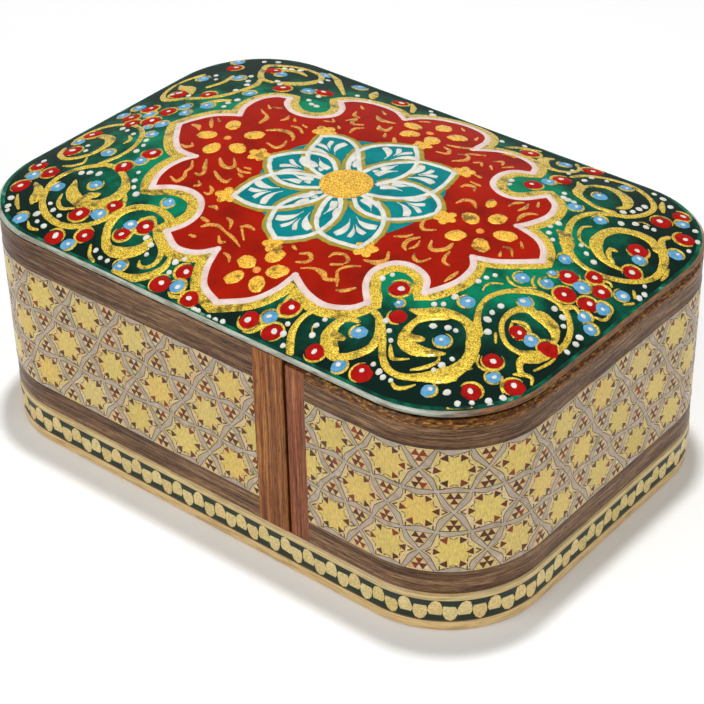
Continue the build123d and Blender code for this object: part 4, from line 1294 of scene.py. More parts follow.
# Gold strokes of the scrolls: (x, y, width) along each
SCROLLS = (
    # Right front
    ((45.4, -20.4, 1.8), (43.4, -18.0, 1.3), (41.9, -15.3, 1.0), (41.4, -12.5, 1.0), (42.2, -9.6, 1.1),
     (44.0, -7.0, 1.3), (46.5, -4.9, 1.5), (49.5, -4.2, 1.2), (52.4, -5.0, 1.1), (54.8, -7.3, 1.1),
     (56.2, -10.0, 1.1), (56.7, -12.8, 1.1), (56.3, -15.7, 1.4), (55.2, -18.3, 2.2), (54.1, -19.9, 1.7),
     (54.4, -21.3, 1.2), (55.7, -22.5, 1.1), (57.4, -22.1, 0.8), (58.3, -23.4, 0.4)),
    ((56.0, -22.6, 1.2), (55.0, -23.7, 0.5)),
    ((55.3, -13.2, 0.8), (54.6, -11.4, 1.5), (52.9, -9.8, 2.4), (50.7, -9.3, 3.0), (48.9, -9.4, 2.0),
     (48.1, -8.7, 0.5)),
    ((49.2, -9.7, 1.2), (47.3, -10.1, 1.6), (46.3, -12.3, 1.2), (46.5, -15.0, 1.0), (47.9, -17.3, 1.0),
     (50.1, -19.0, 1.0), (52.7, -19.1, 1.2), (54.6, -17.7, 2.0), (55.5, -16.1, 1.2)),
    ((47.7, -14.1, 0.4), (48.5, -13.4, 0.8), (49.8, -12.9, 0.7), (51.2, -13.7, 0.5)),
    ((48.0, -14.6, 0.6), (48.7, -16.0, 0.5), (50.1, -17.0, 0.4)),
    ((41.1, -7.7, 0.3), (39.7, -8.9, 0.5), (39.3, -10.4, 0.4), (39.7, -11.4, 0.3)),
    ((47.5, -18.5, 0.6), (48.7, -20.1, 0.5)), ((57.4, -15.5, 0.4), (57.3, -17.7, 0.6), (56.8, -20.5, 0.4)),
    ((40.5, -5.6, 0.4), (41.6, -6.3, 0.6), (43.6, -6.2, 0.4), (45.2, -4.4, 0.4)),
    ((43.6, -1.9, 0.3), (44.2, -3.4, 0.6), (45.5, -4.2, 0.6)),
    ((51.4, -4.8, 1.4), (52.5, -2.8, 1.0), (54.1, -3.5, 0.5)),
    # Right front corner
    ((33.3, -23.0, 0.6), (35.5, -22.1, 2.2), (37.8, -20.3, 2.4), (40.8, -19.4, 1.8), (43.8, -20.2, 2.2),
     (46.1, -22.8, 2.5), (47.6, -26.1, 2.3), (47.5, -29.1, 2.8), (46.7, -31.3, 3.8), (44.2, -33.7, 2.1),
     (41.3, -35.5, 1.4), (38.5, -35.6, 1.3), (35.9, -33.9, 1.3), (33.7, -31.1, 1.3), (31.5, -28.5, 1.2),
     (28.9, -26.8, 1.2), (26.2, -26.6, 0.9)),
    ((39.2, -20.8, 1.2), (36.7, -22.3, 2.2), (35.6, -24.8, 1.4), (35.8, -27.6, 1.8), (37.3, -29.4, 3.0),
     (39.5, -29.8, 2.7), (41.9, -28.9, 1.9), (43.8, -27.7, 0.7)),
    ((37.1, -28.3, 2.2), (38.9, -27.3, 1.3)), ((47.6, -28.5, 1.6), (49.2, -27.5, 0.5)),
    ((35.5, -31.3, 0.5), (36.7, -32.7, 0.9), (37.9, -33.3, 0.8), (39.9, -32.0, 0.3)),
    ((43.5, -28.5, 0.4), (44.0, -29.9, 0.7), (43.0, -32.1, 0.9), (41.6, -33.7, 0.4)),
    ((40.5, -37.4, 0.5), (41.8, -37.9, 0.9), (43.1, -37.2, 0.8), (44.1, -35.8, 0.3)),
    ((51.3, -36.6, 0.5), (52.7, -36.4, 0.7), (53.7, -35.2, 0.6), (54.2, -34.0, 0.4)),
    ((48.4, -24.3, 0.4), (49.2, -25.9, 0.5), (50.8, -26.3, 0.5), (52.2, -25.7, 0.3)),
    ((54.0, -25.5, 0.4), (55.1, -27.1, 0.8), (56.1, -28.2, 0.4)),
    # Front, right of the middle
    ((21.6, -40.6, 1.3), (20.0, -38.6, 1.5), (18.6, -36.1, 1.3), (18.3, -33.3, 1.2), (19.2, -31.1, 1.1),
     (21.0, -30.0, 1.0), (23.8, -29.1, 0.8)),
    ((30.1, -27.7, 1.0), (32.3, -30.5, 1.5), (32.9, -33.3, 1.8), (31.4, -35.9, 1.7), (29.0, -37.5, 1.8),
     (27.0, -37.1, 2.2)),
    ((27.5, -29.7, 0.8), (25.6, -29.9, 1.4), (24.5, -31.6, 1.8), (24.8, -34.1, 2.7), (26.4, -36.1, 3.0),
     (28.2, -37.3, 2.2)),
    ((25.8, -34.1, 2.0), (27.6, -33.9, 1.1)), ((21.7, -33.3, 0.3), (21.3, -34.3, 0.4), (22.0, -35.3, 0.3)),
    ((12.2, -36.3, 0.6), (13.1, -37.8, 1.1), (12.6, -39.6, 0.8), (11.1, -40.4, 0.4)),
    ((13.2, -30.4, 0.9), (13.3, -33.1, 0.5), (14.6, -34.9, 0.7), (16.6, -33.1, 0.5)),
    # Right, behind the middle
    ((52.6, 26.8, 1.0), (52.3, 25.0, 1.2), (53.9, 22.5, 1.8), (55.9, 20.0, 1.8), (57.1, 16.7, 1.4),
     (56.7, 13.4, 1.2), (54.6, 10.1, 1.2), (51.3, 7.8, 1.2), (47.9, 7.0, 1.2), (44.5, 8.0, 1.2),
     (41.7, 10.9, 1.5), (39.5, 14.6, 1.3), (38.7, 18.0, 1.2), (39.5, 21.4, 1.3), (41.8, 24.2, 1.4),
     (44.4, 26.5, 1.3), (45.6, 29.9, 1.2), (45.3, 33.2, 1.2), (43.3, 35.7, 1.2), (39.8, 37.7, 1.2),
     (35.8, 38.6, 1.2), (31.9, 37.4, 1.2), (29.3, 34.9, 1.2), (28.3, 31.8, 1.0)),
    ((52.6, 11.8, 0.6), (50.2, 11.3, 1.3), (47.7, 11.9, 1.9), (45.5, 14.0, 2.4), (44.7, 17.2, 2.0),
     (45.4, 20.3, 1.9), (47.6, 22.3, 1.9), (50.7, 23.1, 2.0), (53.7, 21.9, 2.4)),
    ((49.1, 15.1, 0.6), (48.1, 14.8, 0.9), (48.8, 13.1, 1.0), (50.4, 12.1, 0.8)),
    ((39.0, 11.8, 0.7), (40.9, 11.3, 2.6), (42.8, 9.1, 2.5), (43.4, 7.4, 0.8)),
    ((42.1, 17.7, 0.3), (41.2, 16.2, 0.6), (41.9, 14.0, 0.7), (43.5, 12.3, 0.5), (45.5, 11.9, 0.3)),
    ((57.6, 18.9, 0.4), (58.1, 17.1, 0.8), (58.3, 15.5, 0.4)), ((56.8, 9.0, 0.6), (57.8, 7.9, 0.6)),
    ((57.5, 4.9, 0.4), (58.4, 6.5, 0.6)),
    ((56.2, 2.0, 0.4), (57.4, 0.6, 0.7), (57.4, -1.2, 0.7), (56.1, -1.9, 0.5)),
    ((52.0, 6.7, 0.5), (53.0, 7.3, 0.6), (53.8, 6.7, 0.4)), ((48.9, 7.2, 0.7), (49.3, 5.3, 0.4)),
    # Right back corner
    ((30.7, 30.3, 0.6), (32.3, 28.8, 1.8), (33.3, 26.2, 1.9), (35.5, 24.9, 1.1), (38.9, 24.3, 1.1),
     (41.8, 25.3, 1.2)),
    ((32.5, 29.3, 1.0), (33.5, 31.7, 1.0), (35.5, 33.2, 1.3), (38.0, 33.0, 1.9), (40.6, 31.6, 2.3),
     (42.0, 29.1, 1.5), (41.2, 27.1, 0.5)),
    ((44.9, 36.9, 0.8), (45.9, 35.1, 1.3), (47.1, 33.6, 0.7)),
    ((46.2, 25.0, 0.3), (46.9, 26.8, 0.4), (48.3, 27.0, 0.3)),
    ((20.2, 37.4, 0.8), (19.5, 35.8, 2.0), (20.5, 33.7, 2.5), (22.6, 32.2, 1.7), (25.2, 32.4, 1.0),
     (26.8, 34.5, 0.9), (26.4, 37.2, 0.8), (24.4, 39.3, 0.8)),
    ((11.6, 34.3, 0.8), (13.1, 37.0, 1.1), (16.1, 39.1, 0.9)),
    # Left
    ((-43.4, -19.2, 1.2), (-41.8, -15.5, 1.0), (-41.6, -12.2, 1.0), (-42.8, -8.9, 1.1), (-45.1, -5.8, 1.1),
     (-48.5, -3.8, 1.1), (-52.4, -3.5, 1.1), (-55.7, -4.9, 1.1), (-57.5, -8.0, 1.0), (-57.5, -11.9, 1.0)),
    ((-56.3, -15.9, 0.9), (-55.0, -18.4, 1.2), (-52.3, -19.7, 1.2), (-49.7, -18.7, 1.1),
     (-47.9, -16.0, 1.2), (-47.9, -12.7, 1.7), (-49.6, -10.1, 2.2), (-52.6, -9.4, 1.8), (-55.1, -10.8, 1.0)),
    ((-47.8, -18.1, 0.4), (-47.0, -20.0, 0.8), (-48.4, -21.6, 0.8), (-50.1, -22.2, 0.4)),
    ((-46.5, -8.0, 0.4), (-44.9, -9.3, 0.9), (-44.8, -11.1, 0.5)),
    ((-44.0, -20.0, 0.9), (-41.1, -18.8, 1.3), (-37.5, -19.6, 1.3), (-34.2, -21.6, 1.5),
     (-32.4, -24.1, 2.3), (-32.6, -27.4, 2.7), (-34.8, -29.8, 3.0), (-38.2, -30.0, 2.8),
     (-41.5, -28.4, 2.4), (-43.5, -25.5, 0.8)),
    ((-42.5, -19.4, 1.2), (-45.4, -21.2, 1.4), (-47.4, -24.0, 1.3), (-47.8, -27.3, 1.3),
     (-46.4, -30.6, 1.3), (-44.1, -33.6, 1.4), (-40.6, -35.7, 1.4), (-36.2, -36.3, 1.4),
     (-32.5, -34.7, 1.3), (-29.9, -31.7, 1.2), (-29.1, -28.8, 1.0)),
    ((-37.4, -28.2, 2.4), (-36.0, -27.1, 1.3)),
    ((-50.8, -28.9, 0.8), (-48.4, -30.4, 2.1), (-46.9, -32.8, 2.5), (-46.5, -34.0, 0.9)),
    ((-42.7, -29.8, 0.4), (-41.7, -31.8, 0.9), (-39.6, -33.0, 0.9), (-37.4, -32.0, 0.5)),
    ((-51.4, -33.0, 0.5), (-49.6, -34.9, 0.9), (-47.7, -36.3, 0.5)),
    ((-43.1, -38.3, 0.4), (-41.6, -39.4, 0.8), (-39.8, -39.2, 0.6)),
    ((-31.6, -24.5, 0.5), (-30.3, -25.8, 0.9), (-29.3, -27.2, 0.4)),
    # Front, left of the middle
    ((-17.2, -27.2, 1.8), (-20.0, -25.6, 1.7), (-23.3, -25.2, 1.6), (-26.5, -26.4, 1.7),
     (-28.3, -28.8, 1.9), (-28.3, -31.5, 1.8), (-27.1, -34.1, 1.7), (-24.7, -36.5, 1.9),
     (-22.0, -36.7, 2.7), (-19.4, -35.3, 2.8), (-18.3, -33.4, 2.4), (-18.7, -31.8, 1.5)),
    ((-20.4, -28.6, 0.8), (-18.6, -28.8, 1.5), (-16.8, -30.7, 1.5), (-14.4, -33.3, 1.2),
     (-13.7, -35.5, 1.0), (-14.6, -37.1, 0.8), (-16.0, -37.3, 0.9), (-16.7, -36.5, 0.4)),
    ((-12.2, -33.1, 0.8), (-11.6, -35.7, 1.5), (-13.0, -38.4, 1.7), (-15.8, -40.2, 1.8),
     (-19.6, -40.2, 0.9)),
    ((-23.7, -28.6, 0.6), (-22.1, -27.2, 0.9), (-20.4, -28.2, 0.6)),
    ((-22.9, -29.4, 0.5), (-22.6, -31.7, 0.6), (-23.3, -34.1, 0.5)),
    ((-5.4, -36.6, 0.5), (-4.8, -38.2, 1.0), (-4.1, -39.2, 0.8), (-5.7, -40.0, 0.8), (-6.9, -39.6, 0.4)),
    ((-27.7, -37.6, 0.5), (-26.3, -39.4, 0.8), (-24.5, -40.2, 0.6)),
    # Left, behind the middle
    ((-42.0, 25.0, 1.1), (-40.6, 21.6, 1.4), (-41.0, 17.4, 1.3), (-42.4, 13.8, 1.4), (-45.6, 11.3, 1.2),
     (-49.3, 10.1, 1.3), (-52.6, 8.9, 1.5), (-55.6, 10.8, 1.2), (-57.2, 14.5, 1.0), (-57.2, 18.5, 1.0),
     (-55.4, 22.6, 1.0)),
    ((-55.8, 16.1, 0.8), (-54.4, 15.3, 2.0), (-52.1, 15.0, 2.4), (-50.3, 13.6, 1.6), (-49.3, 12.4, 0.5)),
    ((-48.5, 23.8, 1.0), (-47.7, 20.1, 1.1), (-48.7, 16.5, 0.9)),
    ((-38.9, 12.7, 0.6), (-41.0, 11.5, 1.4), (-42.8, 9.0, 1.2)),
    # Left back corner
    ((-33.5, 33.5, 1.2), (-35.5, 36.0, 1.4), (-38.6, 36.9, 1.2), (-42.4, 36.6, 1.1), (-45.9, 34.8, 1.5),
     (-47.5, 33.3, 1.5), (-46.3, 30.6, 1.3), (-44.4, 27.7, 1.4), (-42.0, 25.5, 1.4), (-39.1, 25.2, 1.0)),
    ((-33.6, 34.1, 0.9), (-33.6, 30.2, 1.9), (-35.1, 27.5, 2.4), (-37.9, 25.8, 1.2)),
    ((-37.1, 33.3, 0.6), (-39.6, 34.1, 1.4), (-42.4, 33.3, 1.6), (-43.6, 31.2, 0.7)),
    ((-35.8, 39.0, 0.8), (-32.7, 37.5, 1.5), (-30.2, 35.2, 1.5), (-27.6, 32.9, 1.1), (-25.1, 30.6, 0.8)),
    ((-23.1, 38.3, 0.8), (-22.1, 36.2, 2.0), (-20.8, 34.1, 1.2)),
    ((-14.6, 39.0, 0.8), (-12.7, 37.0, 1.3), (-11.1, 34.4, 0.8)),
)
RED_BEADS = (
    (50.5, 6.3), (47.5, 2.7), (53.3, 4.2), (49.7, -1.6), (53.6, -0.3), (54.0, 12.7), (49.9, -15.5),
    (50.8, -23.8), (56.7, -25.9), (52.1, -31.4), (34.9, -38.2), (28.5, -19.9), (14.9, -32.7), (10.4, -37.9),
    (15.7, -38.2), (25.2, -38.3), (28.3, 38.8), (28.2, 28.7), (48.9, 30.1), (54.6, 28.8), (26.3, 22.1),
    (51.4, 18.5), (49.8, 35.2), (-30.7, -28.1), (-35.4, -32.7), (-30.5, -36.3), (-35.5, -39.2),
    (-24.2, -32.9), (-21.7, -29.6), (-7.5, -34.7), (-9.6, -38.8), (-2.4, -39.1), (-37.9, -18.2),
    (-36.3, -12.4), (-53.2, -30.4), (-50.9, -24.9), (-55.4, -23.6), (-27.9, 27.9), (-35.1, 23.6),
    (-52.3, 28.4), (-45.4, 13.2), (-52.8, 4.3), (-47.5, 3.8), (-53.6, -0.3), (-47.5, -0.9), (-51.0, -2.7),
    (-53.4, -16.6), (-55.5, -9.0), (-52.4, 12.1), (16.1, 35.8), (-16.2, 37.2), (-44.0, 31.4),
)
# Beads without a white light
PLAIN_BEADS = ((32.5, -25.4), (55.5, -14.6))
BLUE_BEADS = (
    (44.4, 6.1), (56.1, 6.5), (50.5, 2.4), (46.0, -1.6), (42.3, -3.8), (55.8, 1.0), (54.9, -3.3),
    (57.2, -4.9), (46.3, -8.5), (52.4, -15.3), (39.5, -15.5), (41.8, -25.5), (53.0, -26.6), (46.5, -35.4),
    (13.2, -35.9), (29.0, -31.5), (30.6, -38.8), (23.4, 36.8), (37.2, 36.5), (36.7, 28.5), (27.2, 25.8),
    (36.3, 21.0), (41.8, 20.8), (51.6, 33.0), (56.2, 23.4), (52.9, 16.5), (-38.7, -24.9), (-45.4, -28.2),
    (-31.9, -31.1), (-19.3, -38.8), (-6.4, -37.8), (-45.0, -15.3), (-36.4, -15.2), (-53.7, -26.7),
    (-45.3, -38.1), (-31.9, -39.2), (-24.5, -30.5), (-55.7, -12.5), (-30.4, 26.2), (-41.2, 30.4),
    (-35.5, 37.3), (-46.7, 23.6), (-53.6, 20.6), (-38.3, 17.6), (-56.1, 4.6), (-45.7, 6.8), (-43.4, 4.3),
    (-41.4, 8.6), (-50.6, 1.8), (-56.9, 0.6), (-44.0, -1.6), (-42.4, -6.0), (-22.3, -22.7), (-26.8, 37.6),
    (-54.4, 32.1),
)
SMALL_BLUE_BEADS = ((30.7, -22.8), (45.1, 1.3), (-45.9, -3.6))
RED_RADII, BLUE_RADII, SMALL_RADIUS = (1.6, 1.95), (1.2, 1.5), 0.85
DOT_RADII = (0.44, 0.68)
WHITE_DOTS = (
    (37.2, 11.9), (38.2, 10.1), (39.8, 8.9), (37.6, 13.9), (44.1, 11.5), (46.0, 10.3), (48.1, 9.5),
    (57.2, 11.8), (58.3, 10.1), (58.2, 8.6), (38.8, -6.7), (38.1, -8.3), (37.7, -10.0), (50.5, -5.8),
    (52.6, -6.4), (53.9, -8.0), (57.1, -7.9), (57.6, -9.7), (57.7, -12.4), (44.1, -12.4), (44.0, -14.7),
    (44.4, -16.6), (46.2, -18.9), (36.7, -18.5), (35.5, -19.5), (37.1, -15.8), (38.5, -23.7), (40.7, -22.5),
    (42.1, -22.2), (45.5, -27.7), (44.9, -29.8), (44.6, -31.5), (31.3, -27.2), (33.2, -28.7), (34.8, -30.3),
    (35.5, -35.8), (37.3, -36.6), (38.6, -37.2), (40.1, -37.1), (49.1, -33.9), (51.8, -34.7), (56.6, -28.9),
    (55.3, -31.0), (56.2, -31.6), (53.5, -33.1), (25.2, -17.7), (24.3, -19.4), (22.0, -31.9), (21.5, -33.6),
    (22.3, -35.6), (16.9, -35.6), (17.6, -37.6), (19.2, -39.6), (6.3, -40.2), (4.8, -40.5), (3.3, -40.5),
    (0.7, -40.3), (44.7, 23.2), (35.1, 22.4), (32.0, 23.9), (32.9, 22.3), (33.9, 22.2), (22.5, 20.7),
    (23.3, 19.0), (26.2, 35.1), (26.8, 32.9), (30.5, 35.1), (30.7, 32.4), (33.1, 36.3), (41.7, 39.1),
    (43.9, 38.6), (46.6, 36.9), (43.9, 32.4), (43.8, 30.6), (43.7, 28.7), (42.7, 27.0), (46.4, 25.3),
    (48.2, 26.1), (49.5, 26.6), (57.0, 26.5), (56.5, 30.4), (54.2, 33.1), (8.8, 36.8), (12.7, 38.9),
    (-29.5, -23.7), (-31.3, -22.4), (-32.7, -20.7), (-33.9, -18.4), (-40.0, -12.6), (-40.3, -10.4),
    (-41.4, -8.5), (-46.3, -7.0), (-49.1, -5.9), (-51.0, -5.3), (-40.9, -21.8), (-42.9, -22.2),
    (-44.5, -22.9), (-42.9, -32.7), (-40.9, -33.9), (-38.6, -34.6), (-43.2, -35.9), (-41.5, -37.5),
    (-39.4, -37.9), (-52.0, -34.1), (-50.6, -36.3), (-49.6, -37.3), (-56.2, -21.5), (-52.0, -13.8),
    (-50.5, -15.8), (-19.6, -31.5), (-17.6, -32.5), (-16.7, -34.6), (-26.0, -38.0), (-24.0, -39.0),
    (-22.3, -38.9), (-9.6, -32.3), (-10.7, -33.6), (-10.0, -36.0), (-0.1, -40.5), (-10.2, -30.9),
    (-27.1, 25.2), (-26.9, 22.1), (-25.2, 20.8), (-23.9, 20.8), (-37.9, 13.5), (-38.5, 11.5), (-37.9, 9.6),
    (-42.2, 21.1), (-43.6, 23.0), (-42.0, 17.5), (-52.3, 23.0), (-50.5, 21.0), (-45.2, 25.7), (-32.6, 32.5),
    (-32.9, 35.0), (-40.6, 35.6), (-42.2, 34.6), (-43.6, 34.1), (-47.7, 36.8), (-50.1, 35.2), (-19.8, 32.4),
    (-23.3, 32.6), (-49.3, 11.7), (-53.6, 11.6), (-38.7, 26.3), (-37.1, 25.2), (-8.3, 37.5), (-9.9, 39.0),
)


def scrollwork():
    """Gold scrolls over the green ground."""
    draw = random.Random(9)
    gold = Paint("lid_gold_scrolls", dull_gold, 2, 0.07)
    for points in SCROLLS:
        gold.brush(points, draw)
    gold.finish()


def beads():
    """Painted beads with gold outlines and white lights, and rows of small white dots."""
    draw = random.Random(14)
    outlines = Paint("lid_bead_outlines", dull_gold, 3, 0.05)
    red = Paint("lid_red_beads", bead_red, 4, 0.09)
    blue = Paint("lid_blue_beads", bead_blue, 4, 0.09)
    lights = Paint("lid_white_dots", cream_paint, 5, 0.1)
    kinds = [(x, y, "red") for x, y in RED_BEADS + PLAIN_BEADS]
    kinds += [(x, y, "blue") for x, y in BLUE_BEADS]
    kinds += [(x, y, "small") for x, y in SMALL_BLUE_BEADS]
    for x, y, kind in kinds:
        radii = {"red": draw.uniform(*RED_RADII), "blue": draw.uniform(*BLUE_RADII), "small": SMALL_RADIUS}
        radius = radii[kind]
        stretch, turn = draw.uniform(1.0, 1.16), draw.uniform(0, math.pi)
        (red if kind == "red" else blue).dot(x, y, radius, 14, draw, stretch, turn)
        outlines.line(arc(x, y, radius + 0.2, draw.uniform(0, 360), draw.uniform(140, 300)),
                      draw.uniform(0.36, 0.66), crescent)
        if (x, y) not in PLAIN_BEADS:
            lights.dot(x + draw.uniform(-0.35, 0.3), y + draw.uniform(-0.2, 0.4),
                       radius * draw.uniform(0.3, 0.42), 8, draw, draw.uniform(1.0, 1.4),
                       draw.uniform(0, math.pi))
    for x, y in WHITE_DOTS:
        lights.dot(x, y, draw.uniform(*DOT_RADII), 8, draw, draw.uniform(1.0, 1.2), draw.uniform(0, math.pi))
    for paint in (outlines, red, blue, lights):
        paint.finish()


scrollwork()
beads()

# Linings


def moved_in(name, back):
    """Half length, half width and corner radius of a lining's outline, moved in from its solid's."""
    _, high = node_box(name)
    return high.x - back, high.y - back, CORNER_RADIUS - (WALL_LENGTH / 2 - high.x) - back


def lined_ring(size, z):
    """A ring of points for a lining at one height."""
    return rounded_ring(*size, z, arc_points=12, flat_points=6)


def linings():
    """Velvet in the tray and felt under the base, each one a single sheet."""
    low, high = node_box("tray_floor_velvet")
    pile = high.z - low.z
    rings = [lined_ring(moved_in("tray_floor_velvet", back), high.z - drop)
             for back, drop in ((0.05, 0.3), (0.5, 0.05), (1.5, 0.0), (6.0, 0.0), (11.0, 0.0))]
    floor = ringed_piece("tray_floor_lining", rings, velvet, "drawer", cap=True)
    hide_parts("tray_floor_velvet")

    low, high = node_box("tray_wall_velvet")
    rings = [lined_ring(moved_in("tray_wall_velvet", back), z) for back, z in (
        (0.04, high.z - 0.1), (pile * 0.35, high.z), (pile * 0.75, high.z - 0.1), (pile, high.z - 0.4),
        (pile, high.z - 6), (pile, low.z + 6), (pile, low.z - 0.1))]
    walls = ringed_piece("tray_wall_lining", rings, velvet, "drawer")
    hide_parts("tray_wall_velvet")

    _, high = node_box("base_felt")
    rings = [lined_ring(moved_in("base_felt", back), z)[::-1] for back, z in (
        (0.02, high.z - 0.05), (0.02, 0.3), (0.2, 0.05), (8.0, 0.05), (17.0, 0.05))]
    felt = ringed_piece("base_felt_sheet", rings, green_felt, cap=True)
    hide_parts("base_felt")


def cloth(name, stops, pile, sockets):
    """Cloth with a pile: soft tone patches where it is brushed, and a fine rough surface."""
    material, tree, shader = new_finish(name, sockets)
    patches = grained(tree, 9.0, 3.0, 0.6)
    tone = add_node(tree, "ShaderNodeValToRGB", {"stops": stops}, {"Fac": patches})
    tufts = grained(tree, pile, 2.0, 0.7, 4.0)
    bump = add_node(tree, "ShaderNodeBump", {}, {"Height": tufts, "Distance": 0.15 * MM, "Strength": 0.8})
    set_inputs(tree, shader, {"Base Color": tone.outputs["Color"], "Normal": bump.outputs["Normal"]})
    return material


# Real piles are finer than 0.1 mm, too fine to show, so their tufts are drawn this coarse
VELVET_TUFT, FELT_TUFT = 0.3, 0.45
# Wine-red velvet: dark face on, pale where the pile is seen from the side
velvet = cloth("wine_red_velvet", [(0.34, "#4A0A18"), (0.66, "#6C1222")], VELVET_TUFT, {
    "Roughness": 0.95, "Specular IOR Level": 0.1, "Sheen Weight": 0.7, "Sheen Roughness": 0.35,
    "Sheen Tint": colour("#D98A98"),
})
# Pressed green felt, matt and short
green_felt = cloth("pressed_green_felt", [(0.34, "#17301F"), (0.66, "#22442E")], FELT_TUFT, {
    "Roughness": 1.0, "Specular IOR Level": 0.05, "Sheen Weight": 0.25, "Sheen Roughness": 0.6,
})
linings()

# Floor, light and camera


def background_rays(tree):
    """1 for the rays that show the background itself, straight or in a shine, and 0 for its light."""
    ray = add_node(tree, "ShaderNodeLightPath")
    mirrored = add_node(tree, "ShaderNodeMath", {"operation": "ADD", "use_clamp": True}, {
        0: ray.outputs["Is Glossy Ray"], 1: ray.outputs["Is Transmission Ray"],
    })
    seen = add_node(tree, "ShaderNodeMath", {"operation": "ADD", "use_clamp": True}, {
        0: ray.outputs["Is Camera Ray"], 1: mirrored.outputs["Value"],
    })
    return seen.outputs["Value"]


# The background is white to the eye, while the floor and the room light the box only this much
FLOOR_GLOW = 0.13
ROOM_LIGHT = 0.15
# In metres and watts: place, size and power of each lamp, and half the floor's side
FLOOR_HALF = 2.0
LAMPS = (
    ("key_softbox", (-0.25, -0.75, 0.75), 0.6, 3.25),
    ("right_softbox", (0.85, -0.25, 0.45), 0.5, 1.8),
    ("top_softbox", (-0.03, 0.07, 0.95), 0.06, 5.7),
)
LAMPS_AIM = Vector((0, 0, 0.02))


def studio():
    """A plain pale floor, a white background that gives little light, and soft lamps."""
    scene = bpy.context.scene
    scene.view_settings.view_transform = "Standard"
    material, tree, shader = new_finish("white_paper_floor", {
        "Base Color": colour("#F4F4F4"), "Roughness": 0.9, "Specular IOR Level": 0.1,
    })
    glow = add_node(tree, "ShaderNodeMath", {"operation": "MULTIPLY"}, {
        0: background_rays(tree), 1: FLOOR_GLOW,
    })
    set_inputs(tree, shader, {
        "Emission Strength": glow.outputs["Value"], "Emission Color": colour("#FFFFFF"),
    })
    mesh = bpy.data.meshes.new("floor")
    corners = [(x * FLOOR_HALF, y * FLOOR_HALF, 0) for x, y in ((-1, -1), (1, -1), (1, 1), (-1, 1))]
    mesh.from_pydata(corners, [], [(0, 1, 2, 3)])
    mesh.materials.append(material)
    floor = bpy.data.objects.new("floor", mesh)
    scene.collection.objects.link(floor)

    world = bpy.data.worlds.new("studio_room")
    world.use_nodes = True
    tree = world.node_tree
    strength = add_node(tree, "ShaderNodeMapRange", {}, {
        "Value": background_rays(tree), "To Min": ROOM_LIGHT, "To Max": 1.0,
    })
    set_inputs(tree, tree.nodes["Background"], {
        "Color": colour("#FFFFFF"), "Strength": strength.outputs["Result"],
    })
    scene.world = world

    for name, place, size, power in LAMPS:
        data = bpy.data.lights.new(name, "AREA")
        data.shape = "SQUARE"
        data.size = size
        data.energy = power
        lamp = bpy.data.objects.new(name, data)
        lamp.location = place
        lamp.rotation_euler = (LAMPS_AIM - Vector(place)).to_track_quat("-Z", "Y").to_euler()
        scene.collection.objects.link(lamp)


# The photograph's own view, fitted to the box's corners: the camera's place, and its right, down
# and forward directions
CAMERA_PLACE = Vector((215.8, -257.0, 250.5))
CAMERA_RIGHT = Vector((0.7751, 0.6315, -0.0175))
CAMERA_DOWN = Vector((0.3514, -0.454, -0.8188))
CAMERA_FORWARD = Vector((-0.5251, 0.6285, -0.5738))
SENSOR_WIDTH = 36.0
LENS = 109.46


def camera():
    """A long lens from the front and the right, from above."""
    data = bpy.data.cameras.new("camera")
    data.sensor_width = SENSOR_WIDTH
    data.lens = LENS
    data.clip_start = 0.01
    eye = bpy.data.objects.new("camera", data)
    turn = Matrix((CAMERA_RIGHT, -CAMERA_DOWN, -CAMERA_FORWARD)).transposed().to_4x4()
    eye.matrix_world = Matrix.Translation(CAMERA_PLACE * MM) @ turn
    bpy.context.scene.collection.objects.link(eye)
    bpy.context.scene.camera = eye


studio()
camera()

# Materials of the solids that stay


# The lid's edge is stained by varnish between these places along the box
STAIN_START_X, STAIN_FULL_X = 50, 56


def edging():
    """Pale grey primed edge of the lid, stained amber where the varnish ran on the drawer's end."""
    material, tree, shader = new_finish("grey_primed_lid_edge", {
        "Roughness": 0.5, "IOR": 1.5, "Coat Weight": 0.4, "Coat Roughness": 0.2,
    })
    patches = grained(tree, (4.0, 4.0, 0.5), 4.0, 0.65)
    grey = add_node(tree, "ShaderNodeValToRGB", {
        "stops": [(0.32, "#6E6A58"), (0.46, "#9A9C8C"), (0.62, "#B4BCAC"), (0.75, "#C9CCBE")],
    }, {"Fac": patches})
    amber = add_node(tree, "ShaderNodeValToRGB", {
        "stops": [(0.34, "#3A220C"), (0.5, "#6E4214"), (0.66, "#94621E")],
    }, {"Fac": patches})
    place = add_node(tree, "ShaderNodeTexCoord")
    split = add_node(tree, "ShaderNodeSeparateXYZ", {}, {"Vector": place.outputs["Object"]})
    stained = add_node(tree, "ShaderNodeMapRange", {}, {
        "Value": split.outputs["X"], "From Min": STAIN_START_X * MM, "From Max": STAIN_FULL_X * MM,
    })
    edge = add_node(tree, "ShaderNodeMix", {"data_type": "RGBA"}, {
        MIX_FACTOR: stained.outputs["Result"],
        MIX_FIRST: grey.outputs["Color"],
        MIX_SECOND: amber.outputs["Color"],
    })
    bump = add_node(tree, "ShaderNodeBump", {}, {"Height": patches, "Distance": 0.05 * MM, "Strength": 0.6})
    set_inputs(tree, shader, {"Base Color": edge.outputs[MIX_RESULT], "Normal": bump.outputs["Normal"]})
    return material


lid_edging = edging()
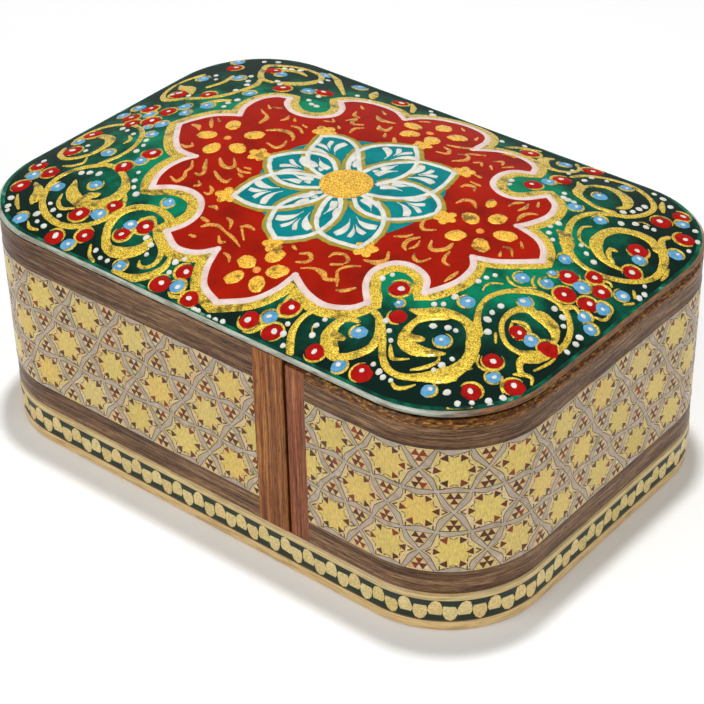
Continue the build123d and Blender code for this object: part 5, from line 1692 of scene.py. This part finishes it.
# Stained softwood of the walls behind the veneer
CARCASS_TONES = ("#3A2415", "#5A3A22", "#6B472B", "#7C5536")
carcass_wood = lacquered_walnut("stained_softwood_carcass", False, 0.9, CARCASS_TONES)
# Unstained limewood of the tray, bent thin
TRAY_TONES = ("#9A7448", "#B98E5C", "#C9A06C", "#D8B482")
tray_wood = lacquered_walnut("pale_limewood_tray", False, 0.8, TRAY_TONES)


# Real tool marks are too fine to show, so the rings are drawn this coarse
BRASS_RING = 0.12


def turned_brass():
    """Plain turned brass with fine rings from the tool."""
    material, tree, shader = new_finish("turned_brass", {"Metallic": 1.0, "Roughness": 0.28})
    rings = grained(tree, (2.0, 2.0, BRASS_RING), 2.0, 0.5)
    tone = add_node(tree, "ShaderNodeValToRGB", {
        "stops": [(0.4, "#B58F45"), (0.6, "#CFAC62")],
    }, {"Fac": rings})
    bump = add_node(tree, "ShaderNodeBump", {}, {"Height": rings, "Distance": 0.02 * MM, "Strength": 0.5})
    set_inputs(tree, shader, {"Base Color": tone.outputs["Color"], "Normal": bump.outputs["Normal"]})
    return material


pin_brass = turned_brass()

for node_name, finish in {
    "case_top_rail": walnut_rail,
    "case_bottom_rail": walnut_rail,
    "drawer_top_rail": walnut_varnished,
    "drawer_bottom_rail": walnut_rail,
    "case_front_stile": walnut_orange,
    "case_back_stile": walnut_orange,
    "drawer_front_stile": walnut_stile,
    "drawer_back_stile": walnut_stile,
    "case_inlay_panel": glue_line,
    "drawer_inlay_panel": glue_line,
    "plinth_foot_strip": foot_wood,
    "plinth_dark_band": band_wood,
    "plinth_ledge_strip": ledge_wood,
    "lid_board": lid_edging,
    "lid_panel": lid_edging,
    "lid_underboard": carcass_wood,
    "case_shell": carcass_wood,
    "drawer_shell": carcass_wood,
    "front_kicker_strip": carcass_wood,
    "back_kicker_strip": carcass_wood,
    "base_board": tray_wood,
    "tray_floor": tray_wood,
    "tray_front_side": tray_wood,
    "tray_back_side": tray_wood,
    "tray_rear_bend": tray_wood,
    "tray_nose_bend": tray_wood,
    "stop_pin": pin_brass,
}.items():
    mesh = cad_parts[node_name].data
    mesh.materials.clear()
    mesh.materials.append(finish)
